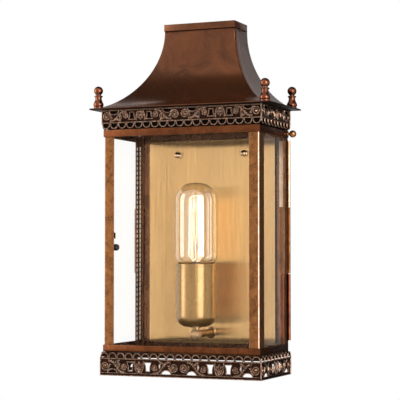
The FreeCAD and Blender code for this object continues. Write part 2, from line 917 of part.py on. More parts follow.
neck_top = cap_top + size.bulb_neck
shoulder_r = size.bulb_r - size.bulb_neck_r
inner_shoulder_r = shoulder_r - size.bulb_wall
tube_low = neck_top + shoulder_r
bulb_top = cap_top + size.bulb_length
tube_top = bulb_top - size.bulb_crown
inner_neck_r = size.bulb_neck_r - size.bulb_wall
inner_bulb_r = size.bulb_r - size.bulb_wall
crown_r = size.bulb_r - size.bulb_crown
inner_crown = size.bulb_crown - size.bulb_wall
keep(
    turned(
        "bulb_glass",
        [
            (inner_neck_r, cap_top),
            (size.bulb_neck_r, cap_top),
            (size.bulb_neck_r, neck_top, Arc(shoulder_r, LEFT)),
            (size.bulb_r, tube_low),
            (size.bulb_r, tube_top, Arc(size.bulb_crown, LEFT)),
            (crown_r, bulb_top),
            (ZERO, bulb_top),
            (ZERO, bulb_top - size.bulb_wall),
            (crown_r, bulb_top - size.bulb_wall, Arc(inner_crown, RIGHT)),
            (inner_bulb_r, tube_top),
            (inner_bulb_r, tube_low, Arc(inner_shoulder_r, RIGHT)),
            (size.bulb_neck_r, neck_top + size.bulb_wall),
            (inner_neck_r, neck_top + size.bulb_wall),
        ],
        ZERO,
        lamp_y,
        ZERO,
    ),
    "bulb_glass",
)

stem_top = cap_top + size.stem_tall
keep(
    turned(
        "bulb_stem",
        [
            (ZERO, cap_top),
            (size.stem_r, cap_top),
            (size.stem_top_r, stem_top),
            (size.stem_rod_r, stem_top),
            (size.stem_rod_r, stem_top + size.stem_rod),
            (ZERO, stem_top + size.stem_rod),
        ],
        ZERO,
        lamp_y,
        ZERO,
    ),
    "bulb_stem",
)


def wire(start, end):
    """A fine bar between two points."""
    half = size.filament_r.value
    run = end - start
    side = run.cross(Vector(0, 0, 1) if abs(run.z) < run.Length / 2 else Vector(1, 0, 0)).normalize() * half
    other = run.cross(side).normalize() * half
    corners = [start + side + other, start + side - other, start - side - other, start - side + other]
    return Part.Face(Part.makePolygon(corners + corners[:1])).extrude(run)


def filament():
    """Slanting wires round the stem, each on a spoke from the stem at its foot and at its top."""
    count = int(size.filament_wires.value)
    low_z = cap_top.value + size.filament_low.value
    top_z = low_z + size.filament_tall.value
    taper = (size.stem_r.value - size.stem_top_r.value) / size.stem_tall.value
    stem_at_low = size.stem_r.value - taper * size.filament_low.value
    bars = []
    for i in range(count):
        turn = 2 * math.pi * i / count
        out = Vector(math.cos(turn), math.sin(turn), 0)
        foot = out * size.filament_low_r.value + Vector(0, 0, low_z)
        head = out * size.filament_top_r.value + Vector(0, 0, top_z)
        bars.append(wire(foot, head))
        play = size.pin_play.value
        bars.append(wire(out * (stem_at_low + play) + Vector(0, 0, low_z), foot))
        bars.append(wire(out * (size.stem_rod_r.value + play) + Vector(0, 0, top_z), head))
    shape = bars[0].multiFuse(bars[1:])
    shape.translate(Vector(0, lamp_y.value, 0))
    return shape


keep(formed("bulb_filament", filament()), "bulb_filament")

# Hinge at the left rear, and lips of the same section at the right rear, each in three equal lengths
barrel_low = cage_low + size.barrel_low
third = barrel_length / 3
lengths = {
    "bottom": (barrel_low, third - size.barrel_gap / 2),
    "middle": (barrel_low + third + size.barrel_gap / 2, third - size.barrel_gap),
    "top": (barrel_low + third * 2 + size.barrel_gap / 2, third - size.barrel_gap / 2),
}
barrel_y = -size.barrel_y
leaf_front = plate_front - size.leaf_sheet


def barrel(name, sign, which, hollow):
    """One length of a barrel on its leaf: the outer two on the back plate, the middle on the cage."""
    axis, radius = (lip_x, size.lip_r) if sign > 0 else (barrel_x, size.barrel_r)
    low, tall = lengths[which]
    x = axis * sign
    tube = rod(f"{name}_tube", radius, (x, barrel_y, low), tall)
    if which == "middle":
        start, end = size.cage_half, size.cage_half + size.leaf_sheet
        sides = (start, end) if sign > 0 else (-end, -start)
        leaf = box(
            f"{name}_leaf",
            (sides[0], -(size.cage_back + size.stile_side_leg), low),
            (sides[1], barrel_y, low + tall),
        )
    else:
        start, end = axis - size.leaf_reach, axis
        sides = (start, end) if sign > 0 else (-end, -start)
        leaf = box(f"{name}_leaf", (sides[0], leaf_front, low), (sides[1], plate_front, low + tall))
    blank = fuse(f"{name}_blank", [tube, leaf])
    if not hollow:
        return blank
    bore = rod(
        f"{name}_bore",
        size.pin_r + size.pin_play,
        (x, barrel_y, low - size.barrel_gap),
        tall + size.barrel_gap * 2,
    )
    return cut(name, blank, bore)


keep(barrel("hinge_knuckle_top", -1, "top", True), "hinge_knuckle_top")
keep(barrel("hinge_knuckle_bottom", -1, "bottom", True), "hinge_knuckle_bottom")
keep(barrel("cage_knuckle", -1, "middle", True), "cage_knuckle")
keep(barrel("lip_top", 1, "top", False), "lip_top")
keep(barrel("lip_bottom", 1, "bottom", False), "lip_bottom")
keep(barrel("cage_lip", 1, "middle", False), "cage_lip")

pin_low = barrel_low - size.pin_head_tall
pin_top = barrel_low + barrel_length
keep(
    turned(
        "hinge_pin",
        [
            (ZERO, pin_low),
            (size.pin_head_r, pin_low),
            (size.pin_head_r, barrel_low),
            (size.pin_r, barrel_low),
            (size.pin_r, pin_top),
            (size.pin_head_r, pin_top),
            (size.pin_head_r, pin_top + size.pin_head_tall),
            (ZERO, pin_top + size.pin_head_tall),
        ],
        -barrel_x,
        barrel_y,
        ZERO,
    ),
    "hinge_pin",
)

# Cage: folded posts and stiles with rails soldered on their outer faces
front = -size.cage_front
rear = -size.cage_back
post = [
    (size.cage_half - size.post_front_leg, front),
    (size.cage_half, front),
    (size.cage_half, front + size.post_side_leg),
    (size.cage_half - size.post_sheet, front + size.post_side_leg),
    (size.cage_half - size.post_sheet, front + size.post_sheet),
    (size.cage_half - size.post_front_leg, front + size.post_sheet),
]
stile = [
    (size.cage_half - size.stile_rear_leg, rear),
    (size.cage_half, rear),
    (size.cage_half, rear - size.stile_side_leg),
    (size.cage_half - size.post_sheet, rear - size.stile_side_leg),
    (size.cage_half - size.post_sheet, rear - size.post_sheet),
    (size.cage_half - size.stile_rear_leg, rear - size.post_sheet),
]
for name, points in (("front_post", post), ("rear_stile", stile)):
    keep(folded(f"{name}_right", points, cage_low, size.cage_height), f"{name}_right")
    keep(folded(f"{name}_left", mirror_points(points), cage_low, size.cage_height), f"{name}_left")

rail_half = size.cage_half + size.rail_sheet
rail_levels = {
    "top_rail": (top_rail_low, cage_top),
    "bottom_rail": (cage_low, cage_low + size.bottom_rail_tall),
}
for name, (low, top) in rail_levels.items():
    rail_front = front - size.rail_sheet
    keep(box(f"{name}_front", (-rail_half, rail_front, low), (rail_half, front, top)), f"{name}_front")
    keep(box(f"{name}_left", (-rail_half, front, low), (-size.cage_half, rear, top)), f"{name}_left")
    keep(box(f"{name}_right", (size.cage_half, front, low), (rail_half, rear, top)), f"{name}_right")

# Panes inside the cage, held by a clip and a domed screw in each front corner
pane_low = cage_low + size.bottom_rail_tall - size.pane_lap
pane_top = top_rail_low + size.pane_lap
inner_half = size.cage_half - size.post_sheet
pane_front = front + size.post_sheet
pane_back = pane_front + size.pane
front_low = (-inner_half, pane_front, pane_low)
keep(box("front_glass", front_low, (inner_half, pane_back, pane_top)), "front_glass")
pane_rear = rear - size.post_sheet
side_low, side_high = inner_half - size.pane, inner_half
keep(box("left_glass", (-side_high, pane_back, pane_low), (-side_low, pane_rear, pane_top)), "left_glass")
keep(box("right_glass", (side_low, pane_back, pane_low), (side_high, pane_rear, pane_top)), "right_glass")

clip_middle = cage_low + size.clip_level
clip_top = clip_middle + size.clip_tip_tall / 2
clip_tip = size.cage_half - size.post_front_leg - size.clip_reach
clips, screws = [], []
for side, sign in SIDES:
    tip_x = (clip_tip, side_low) if sign > 0 else (-side_low, -clip_tip)
    arm_x = (side_low - size.clip_sheet, side_low) if sign > 0 else (-side_low, -side_low + size.clip_sheet)
    tip = box(
        f"clip_tip_{side}",
        (tip_x[0], pane_back, clip_middle - size.clip_tip_tall / 2),
        (tip_x[1], pane_back + size.clip_sheet, clip_top),
    )
    strap = box(
        f"clip_strap_{side}",
        (arm_x[0], pane_back, clip_top - size.clip_drop - size.clip_screw_r),
        (arm_x[1], pane_back + size.clip_arm, clip_top),
    )
    clips.append(fuse(f"clip_{side}", [tip, strap]))
    seat = (side_low - size.clip_sheet) * sign
    screw_y = pane_back + size.clip_arm / 2 + size.clip_sheet
    level = cage_low + size.clip_screw_level
    crown_foot = seat - size.clip_screw_tall * sign
    shank_start = crown_foot if sign > 0 else seat
    shank = rod(
        f"screw_shank_{side}",
        size.clip_screw_r,
        (shank_start, screw_y, level),
        size.clip_screw_tall,
        "x",
    )
    crown = dome(f"screw_crown_{side}", size.clip_screw_r, (crown_foot, screw_y, level), Vector(-sign, 0, 0))
    screws.append(fuse(f"screw_{side}", [shank, crown]))
keep(group("glass_clips", clips), "glass_clips")
keep(group("clip_screws", screws), "clip_screws")

# Pull: a plate on the rear end of the right top rail, and a ball knob on it
pull_rear = rear - size.pull_from_back
pull_low = top_rail_low + (size.top_rail_tall - size.pull_tall) / 2
pull_face = rail_half + size.pull_sheet
keep(
    box(
        "pull_plate",
        (rail_half, pull_rear - size.pull_long, pull_low),
        (pull_face, pull_rear, pull_low + size.pull_tall),
    ),
    "pull_plate",
)
knob_y = rear - size.knob_from_back
knob_level = top_rail_low + size.top_rail_tall / 2
shank_drop = Size(
    math.sqrt(size.knob_r.value ** 2 - size.knob_shank_r.value ** 2),
    f"sqrt({size.knob_r.formula} ^ 2 - {size.knob_shank_r.formula} ^ 2)",
)
knob = turned(
    "pull_knob",
    [
        (ZERO, ZERO),
        (size.knob_shank_r, ZERO),
        (size.knob_shank_r, size.knob_shank + size.knob_r - shank_drop, Arc(size.knob_r, LEFT)),
        (size.knob_r, size.knob_shank + size.knob_r, Arc(size.knob_r, LEFT)),
        (ZERO, size.knob_shank + size.knob_r * 2),
    ],
    pull_face,
    knob_y,
    knob_level,
)
knob.Placement.Rotation = TURN["x"]
keep(knob, "pull_knob")

doc.recompute()
for thing in doc.Objects:
    if "Invalid" in thing.State or "Error" in thing.State:
        raise RuntimeError(f"{thing.Name} failed: {thing.State}")
for node in nodes:
    if node.Shape.isNull() or not node.Shape.isValid():
        raise RuntimeError(f"{node.Label} has no valid shape")

os.makedirs("parts", exist_ok=True)
for node in nodes:
    node.Shape.exportStep(f"parts/{node.Label}.step")
    print(node.Label, len(node.Shape.Solids), round(node.Shape.Volume, 1))
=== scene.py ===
"""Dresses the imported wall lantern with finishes, finer shells, scrollwork and a lamp, in a studio."""

import json
import logging
import math
from dataclasses import dataclass, field
from enum import Enum
from typing import Callable, Optional, Sequence

import bmesh
import bpy
from mathutils import Matrix, Vector


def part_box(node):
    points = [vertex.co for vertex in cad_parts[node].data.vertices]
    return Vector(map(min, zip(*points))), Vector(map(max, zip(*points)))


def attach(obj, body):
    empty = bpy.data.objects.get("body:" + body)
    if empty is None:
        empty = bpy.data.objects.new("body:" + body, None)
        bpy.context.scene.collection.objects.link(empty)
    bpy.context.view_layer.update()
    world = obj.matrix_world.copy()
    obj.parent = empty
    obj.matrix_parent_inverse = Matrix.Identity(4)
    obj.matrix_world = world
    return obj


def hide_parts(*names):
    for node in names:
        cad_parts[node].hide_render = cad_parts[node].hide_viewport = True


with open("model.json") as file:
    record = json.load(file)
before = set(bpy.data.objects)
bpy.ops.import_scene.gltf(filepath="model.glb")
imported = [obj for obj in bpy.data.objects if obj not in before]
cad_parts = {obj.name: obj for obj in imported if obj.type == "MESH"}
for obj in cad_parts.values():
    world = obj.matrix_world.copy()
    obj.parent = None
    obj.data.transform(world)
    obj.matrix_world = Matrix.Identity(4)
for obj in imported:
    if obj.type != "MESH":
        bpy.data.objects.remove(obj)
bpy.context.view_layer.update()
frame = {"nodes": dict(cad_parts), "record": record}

log = logging.getLogger("wall_lantern")

MM = 0.001
UP = Vector((0.0, 0.0, 1.0))
ACROSS = Vector((1.0, 0.0, 0.0))
WALLWARD = Vector((0.0, 1.0, 0.0))
NEAR_CORNER = (ACROSS - WALLWARD).normalized()
ASKEW = Vector((0.31, 0.17, 0.02))
HIGHLIGHT_SPREAD = 0.8
CREASE = 35.0
SOFT_CREASE = 60.0
WELD = 1e-4
ON_AXIS = 1e-6
EASED_STEPS = 2
EASED_ANGLE = 40.0
Colour = tuple[float, float, float, float]
Flat = tuple[float, float]
Place = tuple[float, float, float]
WHITE = (1.0, 1.0, 1.0, 1.0)


class Body(Enum):
    """The two rigid bodies of the lantern."""

    LANTERN = "lantern"
    CAGE = "cage"


class Side(Enum):
    """The three open sides of the lantern, each with the direction its strips run in."""

    FRONT = ("front", ACROSS)
    LEFT = ("left", -WALLWARD)
    RIGHT = ("right", WALLWARD)

    @property
    def word(self) -> str:
        """The word for this side in the names of nodes."""
        return self.value[0]

    @property
    def along(self) -> Vector:
        """The way a strip runs, left to right as seen from outside."""
        return self.value[1]


class Level(Enum):
    """The levels of a gallery's filigree that its stems are drawn from."""

    FOOT = "foot"
    MIDDLE = "middle"
    HEAD = "head"


def srgb(red: int, green: int, blue: int) -> Colour:
    """Turns a display colour into the linear colour that a shader takes.

    Args:
        red: Red from 0 to 255.
        green: Green from 0 to 255.
        blue: Blue from 0 to 255.

    Returns:
        The colour as linear red, green, blue and a full alpha.
    """
    toe, slope, offset, power = 0.04045, 12.92, 0.055, 2.4

    def linear(part: int) -> float:
        """One channel from display to linear."""
        share = part / 255.0
        return share / slope if share <= toe else ((share + offset) / (1.0 + offset)) ** power

    return linear(red), linear(green), linear(blue), 1.0


def node_box(node: str) -> tuple[Vector, Vector]:
    """Reads a CAD node's box.

    Args:
        node: The node's name.

    Returns:
        Its lowest and highest corner in millimetres.
    """
    low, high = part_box(node)
    return low / MM, high / MM


def arc(centre: Flat, radius: float, start: float, end: float, steps: int) -> list[Flat]:
    """Points along an arc.

    Args:
        centre: The arc's middle.
        radius: Its radius.
        start: First angle in degrees, anticlockwise from the first axis.
        end: Last angle in degrees.
        steps: Number of stretches.

    Returns:
        The points from start to end, both included.
    """
    turns = [math.radians(start + (end - start) * i / steps) for i in range(steps + 1)]
    return [(centre[0] + radius * math.cos(t), centre[1] + radius * math.sin(t)) for t in turns]


def bezier(poles: Sequence[Flat], steps: int) -> list[Flat]:
    """Points along a cubic curve.

    Args:
        poles: The curve's four control points.
        steps: Number of stretches.

    Returns:
        The points from the first pole to the last.
    """
    points = []
    for i in range(steps + 1):
        t = i / steps
        weights = ((1 - t) ** 3, 3 * t * (1 - t) ** 2, 3 * t * t * (1 - t), t ** 3)
        points.append(tuple(sum(w * p[k] for w, p in zip(weights, poles)) for k in (0, 1)))
    return points


class Form:
    """A mesh in the making, in millimetres in the lantern's frame."""

    def __init__(self) -> None:
        """Starts with nothing."""
        self.bm = bmesh.new()

    def slab(self, low: Vector, high: Vector, edge: float, steps: int = 2) -> None:
        """Adds a block with rounded edges.

        Args:
            low: Its lowest corner.
            high: Its highest corner.
            edge: Radius of the edges.
            steps: Faces across an edge.
        """
        place = Matrix.Translation((low + high) / 2) @ Matrix.Diagonal((*(high - low), 1.0))
        made = bmesh.ops.create_cube(self.bm, size=1.0, matrix=place)
        edges = list({e for v in made["verts"] for e in v.link_edges})
        bmesh.ops.bevel(self.bm, geom=edges, offset=edge, segments=steps, profile=0.5, affect="EDGES")

    def bar(self, section: Sequence[Flat], low: float, high: float) -> None:
        """Adds an upright bar of a plan section.

        Args:
            section: Corners of the section as x and y.
            low: Level of its foot.
            high: Level of its top.
        """
        feet = [self.bm.verts.new((x, y, low)) for x, y in section]
        tops = [self.bm.verts.new((x, y, high)) for x, y in section]
        count = len(section)
        for i in range(count):
            j = (i + 1) % count
            self.bm.faces.new((feet[i], feet[j], tops[j], tops[i]))
        self.bm.faces.new(feet[::-1])
        self.bm.faces.new(tops)

    def lathe(self, profile: Sequence[Flat], place: Matrix, steps: int = 48, ring: bool = False) -> None:
        """Adds a turned form.

        Args:
            profile: Its half section as radius and height; a radius of zero lies on the axis.
            place: Where its axis stands.
            steps: Faces round the axis.
            ring: Whether the profile closes on itself, as a tube's wall does.
        """
        rings = []
        for radius, height in profile:
            if radius < ON_AXIS:
                rings.append([self.bm.verts.new(place @ Vector((0.0, 0.0, height)))])
                continue
            turns = [2 * math.pi * i / steps for i in range(steps)]
            spots = [Vector((radius * math.cos(t), radius * math.sin(t), height)) for t in turns]
            rings.append([self.bm.verts.new(place @ spot) for spot in spots])
        pairs = list(zip(rings, rings[1:]))
        if ring:
            pairs.append((rings[-1], rings[0]))
        for lower, upper in pairs:
            self._band(lower, upper, steps)

    def _band(self, lower: list, upper: list, steps: int) -> None:
        """Joins two rings of a form, either of which may be a single point.

        Args:
            lower: Points of the first ring.
            upper: Points of the second ring.
            steps: Faces round the ring.
        """
        if len(lower) == 1 and len(upper) == 1:
            return
        under, over = len(lower), len(upper)
        for i in range(steps):
            j = (i + 1) % steps
            corners = [lower[i % under], lower[j % under], upper[j % over], upper[i % over]]
            self.bm.faces.new(list(dict.fromkeys(corners)))

    def tube(
        self,
        points: Sequence[Vector],
        radius: float,
        up: Vector,
        sides: int = 6,
        closed: bool = False,
        end_radius: Optional[float] = None,
    ) -> None:
        """Adds a round bar along a line.

        Args:
            points: The line.
            radius: The bar's radius at the line's start.
            up: A direction that the line never runs in.
            sides: Faces round the bar.
            closed: Whether the line joins its own start.
            end_radius: The radius at the line's end, when the bar tapers.
        """
        count = len(points)
        rings = []
        for i, point in enumerate(points):
            before = points[(i - 1) % count] if closed or i else point
            after = points[(i + 1) % count] if closed or i < count - 1 else point
            run = (after - before).normalized()
            across = run.cross(up).normalized()
            rise = across.cross(run)
            share = i / max(count - 1, 1)
            thick = radius if end_radius is None else radius + (end_radius - radius) * share
            turns = [2 * math.pi * k / sides for k in range(sides)]
            spots = [point + across * (thick * math.cos(t)) + rise * (thick * math.sin(t)) for t in turns]
            rings.append([self.bm.verts.new(spot) for spot in spots])
        pairs = list(zip(rings, rings[1:]))
        if closed:
            pairs.append((rings[-1], rings[0]))
        for lower, upper in pairs:
            self._band(lower, upper, sides)
        if not closed:
            self.bm.faces.new(rings[0][::-1])
            self.bm.faces.new(rings[-1])

    def shell(self, rows: Sequence[Sequence[Vector]]) -> None:
        """Adds an open skin through rows of points.

        Args:
            rows: Rows of equally many points.
        """
        grid = [[self.bm.verts.new(p) for p in row] for row in rows]
        for lower, upper in zip(grid, grid[1:]):
            for i in range(len(lower) - 1):
                self.bm.faces.new((lower[i], lower[i + 1], upper[i + 1], upper[i]))

    def take(self, mesh: bpy.types.Mesh, place: Callable[[Vector], Vector]) -> None:
        """Adds a finished mesh, each of its points moved by a rule, and deletes it.

        Args:
            mesh: The mesh to take over.
            place: Where each of its points goes.
        """
        for vert in mesh.vertices:
            vert.co = place(vert.co)
        self.bm.from_mesh(mesh)
        bpy.data.meshes.remove(mesh)

    def mesh(self, name: str, crease: float = CREASE) -> bpy.types.Mesh:
        """Finishes the mesh in metres.

        Args:
            name: The mesh's name.
            crease: Angle in degrees past which an edge stays sharp.

        Returns:
            The smooth-shaded mesh.
        """
        bmesh.ops.remove_doubles(self.bm, verts=self.bm.verts, dist=WELD)
        bmesh.ops.recalc_face_normals(self.bm, faces=self.bm.faces)
        bmesh.ops.scale(self.bm, vec=(MM, MM, MM), verts=self.bm.verts)
        mesh = bpy.data.meshes.new(name)
        self.bm.to_mesh(mesh)
        self.bm.free()
        mesh.shade_smooth()
        mesh.set_sharp_from_angle(angle=math.radians(crease))
        return mesh


def pierced(
    outer: Sequence[Flat],
    holes: Sequence[Sequence[Flat]],
    thick: float,
    edge: float,
) -> bpy.types.Mesh:
    """Makes a flat plate with openings and eased edges.

    Args:
        outer: The plate's outline.
        holes: Outlines of its openings.
        thick: The plate's thickness, half of it each side of zero.
        edge: Size of the eased edges.

    Returns:
        The plate's mesh, lying flat.
    """
    curve = bpy.data.curves.new("plate_outline", "CURVE")
    curve.dimensions = "2D"
    curve.fill_mode = "BOTH"
    curve.extrude = thick / 2 - edge
    curve.bevel_depth = edge
    curve.bevel_resolution = 1
    curve.offset = -edge
    for loop in [outer, *holes]:
        spline = curve.splines.new("POLY")
        spline.points.add(len(loop) - 1)
        for point, (u, v) in zip(spline.points, loop):
            point.co = (u, v, 0.0, 1.0)
        spline.use_cyclic_u = True
    holder = bpy.data.objects.new("plate_outline", curve)
    mesh = bpy.data.meshes.new_from_object(holder)
    bpy.data.objects.remove(holder)
    bpy.data.curves.remove(curve)
    return mesh


class Graph:
    """A node tree with short calls to fill it."""

    def __init__(self, tree: bpy.types.NodeTree) -> None:
        """Takes over a tree and empties it."""
        self.tree = tree
        tree.nodes.clear()

    def add(self, kind: str, inputs: Optional[dict] = None, **settings: object) -> bpy.types.Node:
        """Adds a node.

        Args:
            kind: The node's type.
            inputs: Socket name or number to a value, or to an output socket to link.
            settings: Properties of the node.

        Returns:
            The new node.
        """
        node = self.tree.nodes.new(kind)
        for name, value in settings.items():
            setattr(node, name, value)
        for name, value in (inputs or {}).items():
            if isinstance(value, bpy.types.NodeSocket):
                self.tree.links.new(value, node.inputs[name])
            else:
                node.inputs[name].default_value = value
        return node

    def mix(self, share: object, first: object, second: object) -> bpy.types.NodeSocket:
        """Blends two colours.

        Args:
            share: How much of the second, as a number or a socket.
            first: A colour or a socket.
            second: A colour or a socket.

        Returns:
            The blended colour's socket.
        """
        # A mix node takes colours at its sockets 6 and 7, and gives the blended colour at output 2.
        return self.add("ShaderNodeMix", {0: share, 6: first, 7: second}, data_type="RGBA").outputs[2]

    def spread(self, value: object, low: float, high: float, span: Flat = (0.0, 1.0)) -> bpy.types.NodeSocket:
        """Maps a value to another range.

        Args:
            value: A socket.
            low: Result at the start of the span.
            high: Result at the end of the span.
            span: The range that is read.

        Returns:
            The mapped value's socket.
        """
        inputs = {"Value": value, "From Min": span[0], "From Max": span[1], "To Min": low, "To Max": high}
        return self.add("ShaderNodeMapRange", inputs).outputs["Result"]

    def math(self, operation: str, first: object, second: object) -> bpy.types.NodeSocket:
        """Works on two values, each a number or a socket, and returns the result's socket."""
        return self.add("ShaderNodeMath", {0: first, 1: second}, operation=operation).outputs[0]

    def group(self, tree: bpy.types.NodeTree, **values: float) -> bpy.types.NodeSocket:
        """Places a shared group with values for its inputs, and returns its output's socket."""
        return self.add("ShaderNodeGroup", values, node_tree=tree).outputs[0]

    def show(self, shader: bpy.types.Node, kind: str = "ShaderNodeOutputMaterial") -> None:
        """Links a shader to a new output of the tree."""
        self.add(kind, {"Surface": shader.outputs[0]})


def new_material(name: str) -> tuple[bpy.types.Material, Graph]:
    """Starts a material.

    Args:
        name: The material's name.

    Returns:
        The material and its empty graph.
    """
    material = bpy.data.materials.new(name)
    material.use_nodes = True
    return material, Graph(material.node_tree)


class Effects:
    """Shader groups that several finishes share, with the spans of noise or shade that each one reads."""

    cloud_span: Flat = (0.34, 0.66)
    speck_span: Flat = (0.48, 0.68)
    rub_span: Flat = (0.78, 0.99)
    grime_span: Flat = (0.3, 0.95)

    def __init__(self) -> None:
        """Builds each group once."""
        self.mottle = self._mottle()
        self.speckle = self._speckle()
        self.rub = self._rub()
        self.brush = self._brush()
        self.grime = self._grime()

    @staticmethod
    def _group(name: str, output: str, inputs: dict[str, float]) -> tuple[Graph, dict, Callable]:
        """Starts a group with number inputs and one number output.

        Args:
            name: The group's name.
            output: The output's name.
            inputs: Input names and their usual values.

        Returns:
            The group's graph, its input sockets by name, and a call that links a value to its output and
            gives the group back.
        """
        tree = bpy.data.node_groups.new(name, "ShaderNodeTree")
        for socket, value in inputs.items():
            made = tree.interface.new_socket(socket, in_out="INPUT", socket_type="NodeSocketFloat")
            made.default_value = value
        tree.interface.new_socket(output, in_out="OUTPUT", socket_type="NodeSocketFloat")
        graph = Graph(tree)
        source = graph.add("NodeGroupInput")

        def finish(value: bpy.types.NodeSocket) -> bpy.types.NodeTree:
            """Links the group's output and gives the group back."""
            graph.add("NodeGroupOutput", {output: value})
            return tree

        return graph, {socket: source.outputs[socket] for socket in inputs}, finish

    def _mottle(self) -> bpy.types.NodeTree:
        """Broad cloudy patches of patina.

        Returns:
            The group, with a mask from 0 to 1.
        """
        graph, given, finish = self._group("Patina clouds", "Mask", {"Scale": 20.0, "Warp": 0.6})
        spot = graph.add("ShaderNodeTexCoord").outputs["Object"]
        inputs = {"Vector": spot, "Scale": given["Scale"], "Detail": 6.0, "Roughness": 0.62,
                  "Distortion": given["Warp"]}
        noise = graph.add("ShaderNodeTexNoise", inputs)
        return finish(graph.spread(noise.outputs["Fac"], 0.0, 1.0, self.cloud_span))

    def _speckle(self) -> bpy.types.NodeTree:
        """Fine spots: patina specks, and painted glints where a finish gives them a near-white colour.

        Returns:
            The group, with a mask from 0 to 1.
        """
        graph, given, finish = self._group("Patina specks and glints", "Mask", {"Scale": 500.0, "Amount": 0.3})
        spot = graph.add("ShaderNodeTexCoord").outputs["Object"]
        inputs = {"Vector": spot, "Scale": given["Scale"], "Detail": 3.0, "Roughness": 0.7}
        noise = graph.add("ShaderNodeTexNoise", inputs)
        spots = graph.spread(noise.outputs["Fac"], 0.0, 1.0, self.speck_span)
        return finish(graph.math("MULTIPLY", spots, given["Amount"]))

    def _rub(self) -> bpy.types.NodeTree:
        """Edges lightened partly where handling has rubbed the patina off, partly by painted highlight.

        Returns:
            The group, with a mask from 0 to 1.
        """
        graph, given, finish = self._group("Worn and highlit edges", "Mask", {"Width": 0.001, "Amount": 1.0})
        soft = graph.add("ShaderNodeBevel", {"Radius": given["Width"]}, samples=4)
        flat = graph.add("ShaderNodeNewGeometry")
        inputs = {0: soft.outputs["Normal"], 1: flat.outputs["Normal"]}
        agree = graph.add("ShaderNodeVectorMath", inputs, operation="DOT_PRODUCT").outputs["Value"]
        edge = graph.spread(agree, 1.0, 0.0, self.rub_span)
        return finish(graph.math("MULTIPLY", edge, given["Amount"]))

    def _grime(self) -> bpy.types.NodeTree:
        """Painted shade that darkens corners, crevices and places near other parts.

        Returns:
            The group, with a mask from 0 to 1.
        """
        graph, given, finish = self._group("Dark crevices", "Mask", {"Reach": 0.002, "Amount": 0.5})
        near = graph.add("ShaderNodeAmbientOcclusion", {"Distance": given["Reach"]}, samples=6)
        shut = graph.spread(near.outputs["AO"], 1.0, 0.0, self.grime_span)
        return finish(graph.math("MULTIPLY", shut, given["Amount"]))

    def _brush(self) -> bpy.types.NodeTree:
        """Fine straight strokes of a brushed sheet, along Z.

        Returns:
            The group, with a stroke height from 0 to 1.
        """
        graph, given, finish = self._group("Brush strokes", "Stroke", {"Across": 1500.0, "Along": 12.0})
        spot = graph.add("ShaderNodeTexCoord").outputs["Object"]
        inputs = {0: given["Across"], 1: given["Across"], 2: given["Along"]}
        stretch = graph.add("ShaderNodeCombineXYZ", inputs).outputs[0]
        drawn = graph.add("ShaderNodeVectorMath", {0: spot, 1: stretch}, operation="MULTIPLY").outputs[0]
        noise = graph.add("ShaderNodeTexNoise", {"Vector": drawn, "Scale": 1.0, "Detail": 4.0})
        return finish(noise.outputs["Fac"])


@dataclass(frozen=True)
class MetalFinish:
    """A metal with patina, specks, worn and painted-lit edges, painted crevice shade and, if brushed,
    strokes.
    """

    name: str
    base: Colour
    dark: Colour
    light: Colour
    edge: Colour
    cloud_scale: float = 22.0
    cloud_warp: float = 0.6
    speck_scale: float = 600.0
    speck_amount: float = 0.3
    edge_width: float = 0.0008
    edge_amount: float = 0.6
    rough_low: float = 0.28
    rough_high: float = 0.48
    grain: float = 0.05
    grain_depth: float = 0.0004
    strokes: float = 0.0
    stroke_span: Flat = (0.3, 0.7)
    # Colour of the painted shade near other parts.
    deep: Colour = srgb(24, 16, 12)
    grime_reach: float = 0.003
    grime_amount: float = 0.5
    metallic: float = 1.0
    coat: float = 0.0
    anisotropic: float = 0.0

    def build(self, effects: Effects) -> bpy.types.Material:
        """Makes the material.

        Args:
            effects: The shared shader groups.

        Returns:
            The material.
        """
        material, graph = new_material(self.name)
        clouds = graph.group(effects.mottle, Scale=self.cloud_scale, Warp=self.cloud_warp)
        specks = graph.group(effects.speckle, Scale=self.speck_scale, Amount=self.speck_amount)
        worn_and_highlit = graph.group(effects.rub, Width=self.edge_width, Amount=self.edge_amount)
        grime = graph.group(effects.grime, Reach=self.grime_reach, Amount=self.grime_amount)
        colour = graph.mix(clouds, self.dark, self.base)
        # Specks: patina, and painted glints where the light colour is near white.
        colour = graph.mix(specks, colour, self.light)
        # Edges turn lighter: partly wear, partly painted highlight.
        colour = graph.mix(worn_and_highlit, colour, self.edge)
        # Painted shade: the deep colour where other parts come near.
        colour = graph.mix(grime, colour, self.deep)
        rough = graph.spread(clouds, self.rough_high, self.rough_low)
        height = specks
        if self.strokes:
            height = graph.group(effects.brush)
            rough = graph.math("ADD", rough, graph.spread(height, -self.strokes, self.strokes))
            colour = graph.mix(graph.spread(height, 0.0, 1.0, self.stroke_span), colour, self.light)
        inputs = {"Height": height, "Strength": self.grain, "Distance": self.grain_depth}
        bump = graph.add("ShaderNodeBump", inputs)
        inputs = {
            "Base Color": colour,
            "Metallic": self.metallic,
            "Roughness": rough,
            "Anisotropic": self.anisotropic,
            "Coat Weight": self.coat,
            "Normal": bump.outputs[0],
        }
        graph.show(graph.add("ShaderNodeBsdfPrincipled", inputs))
        return material


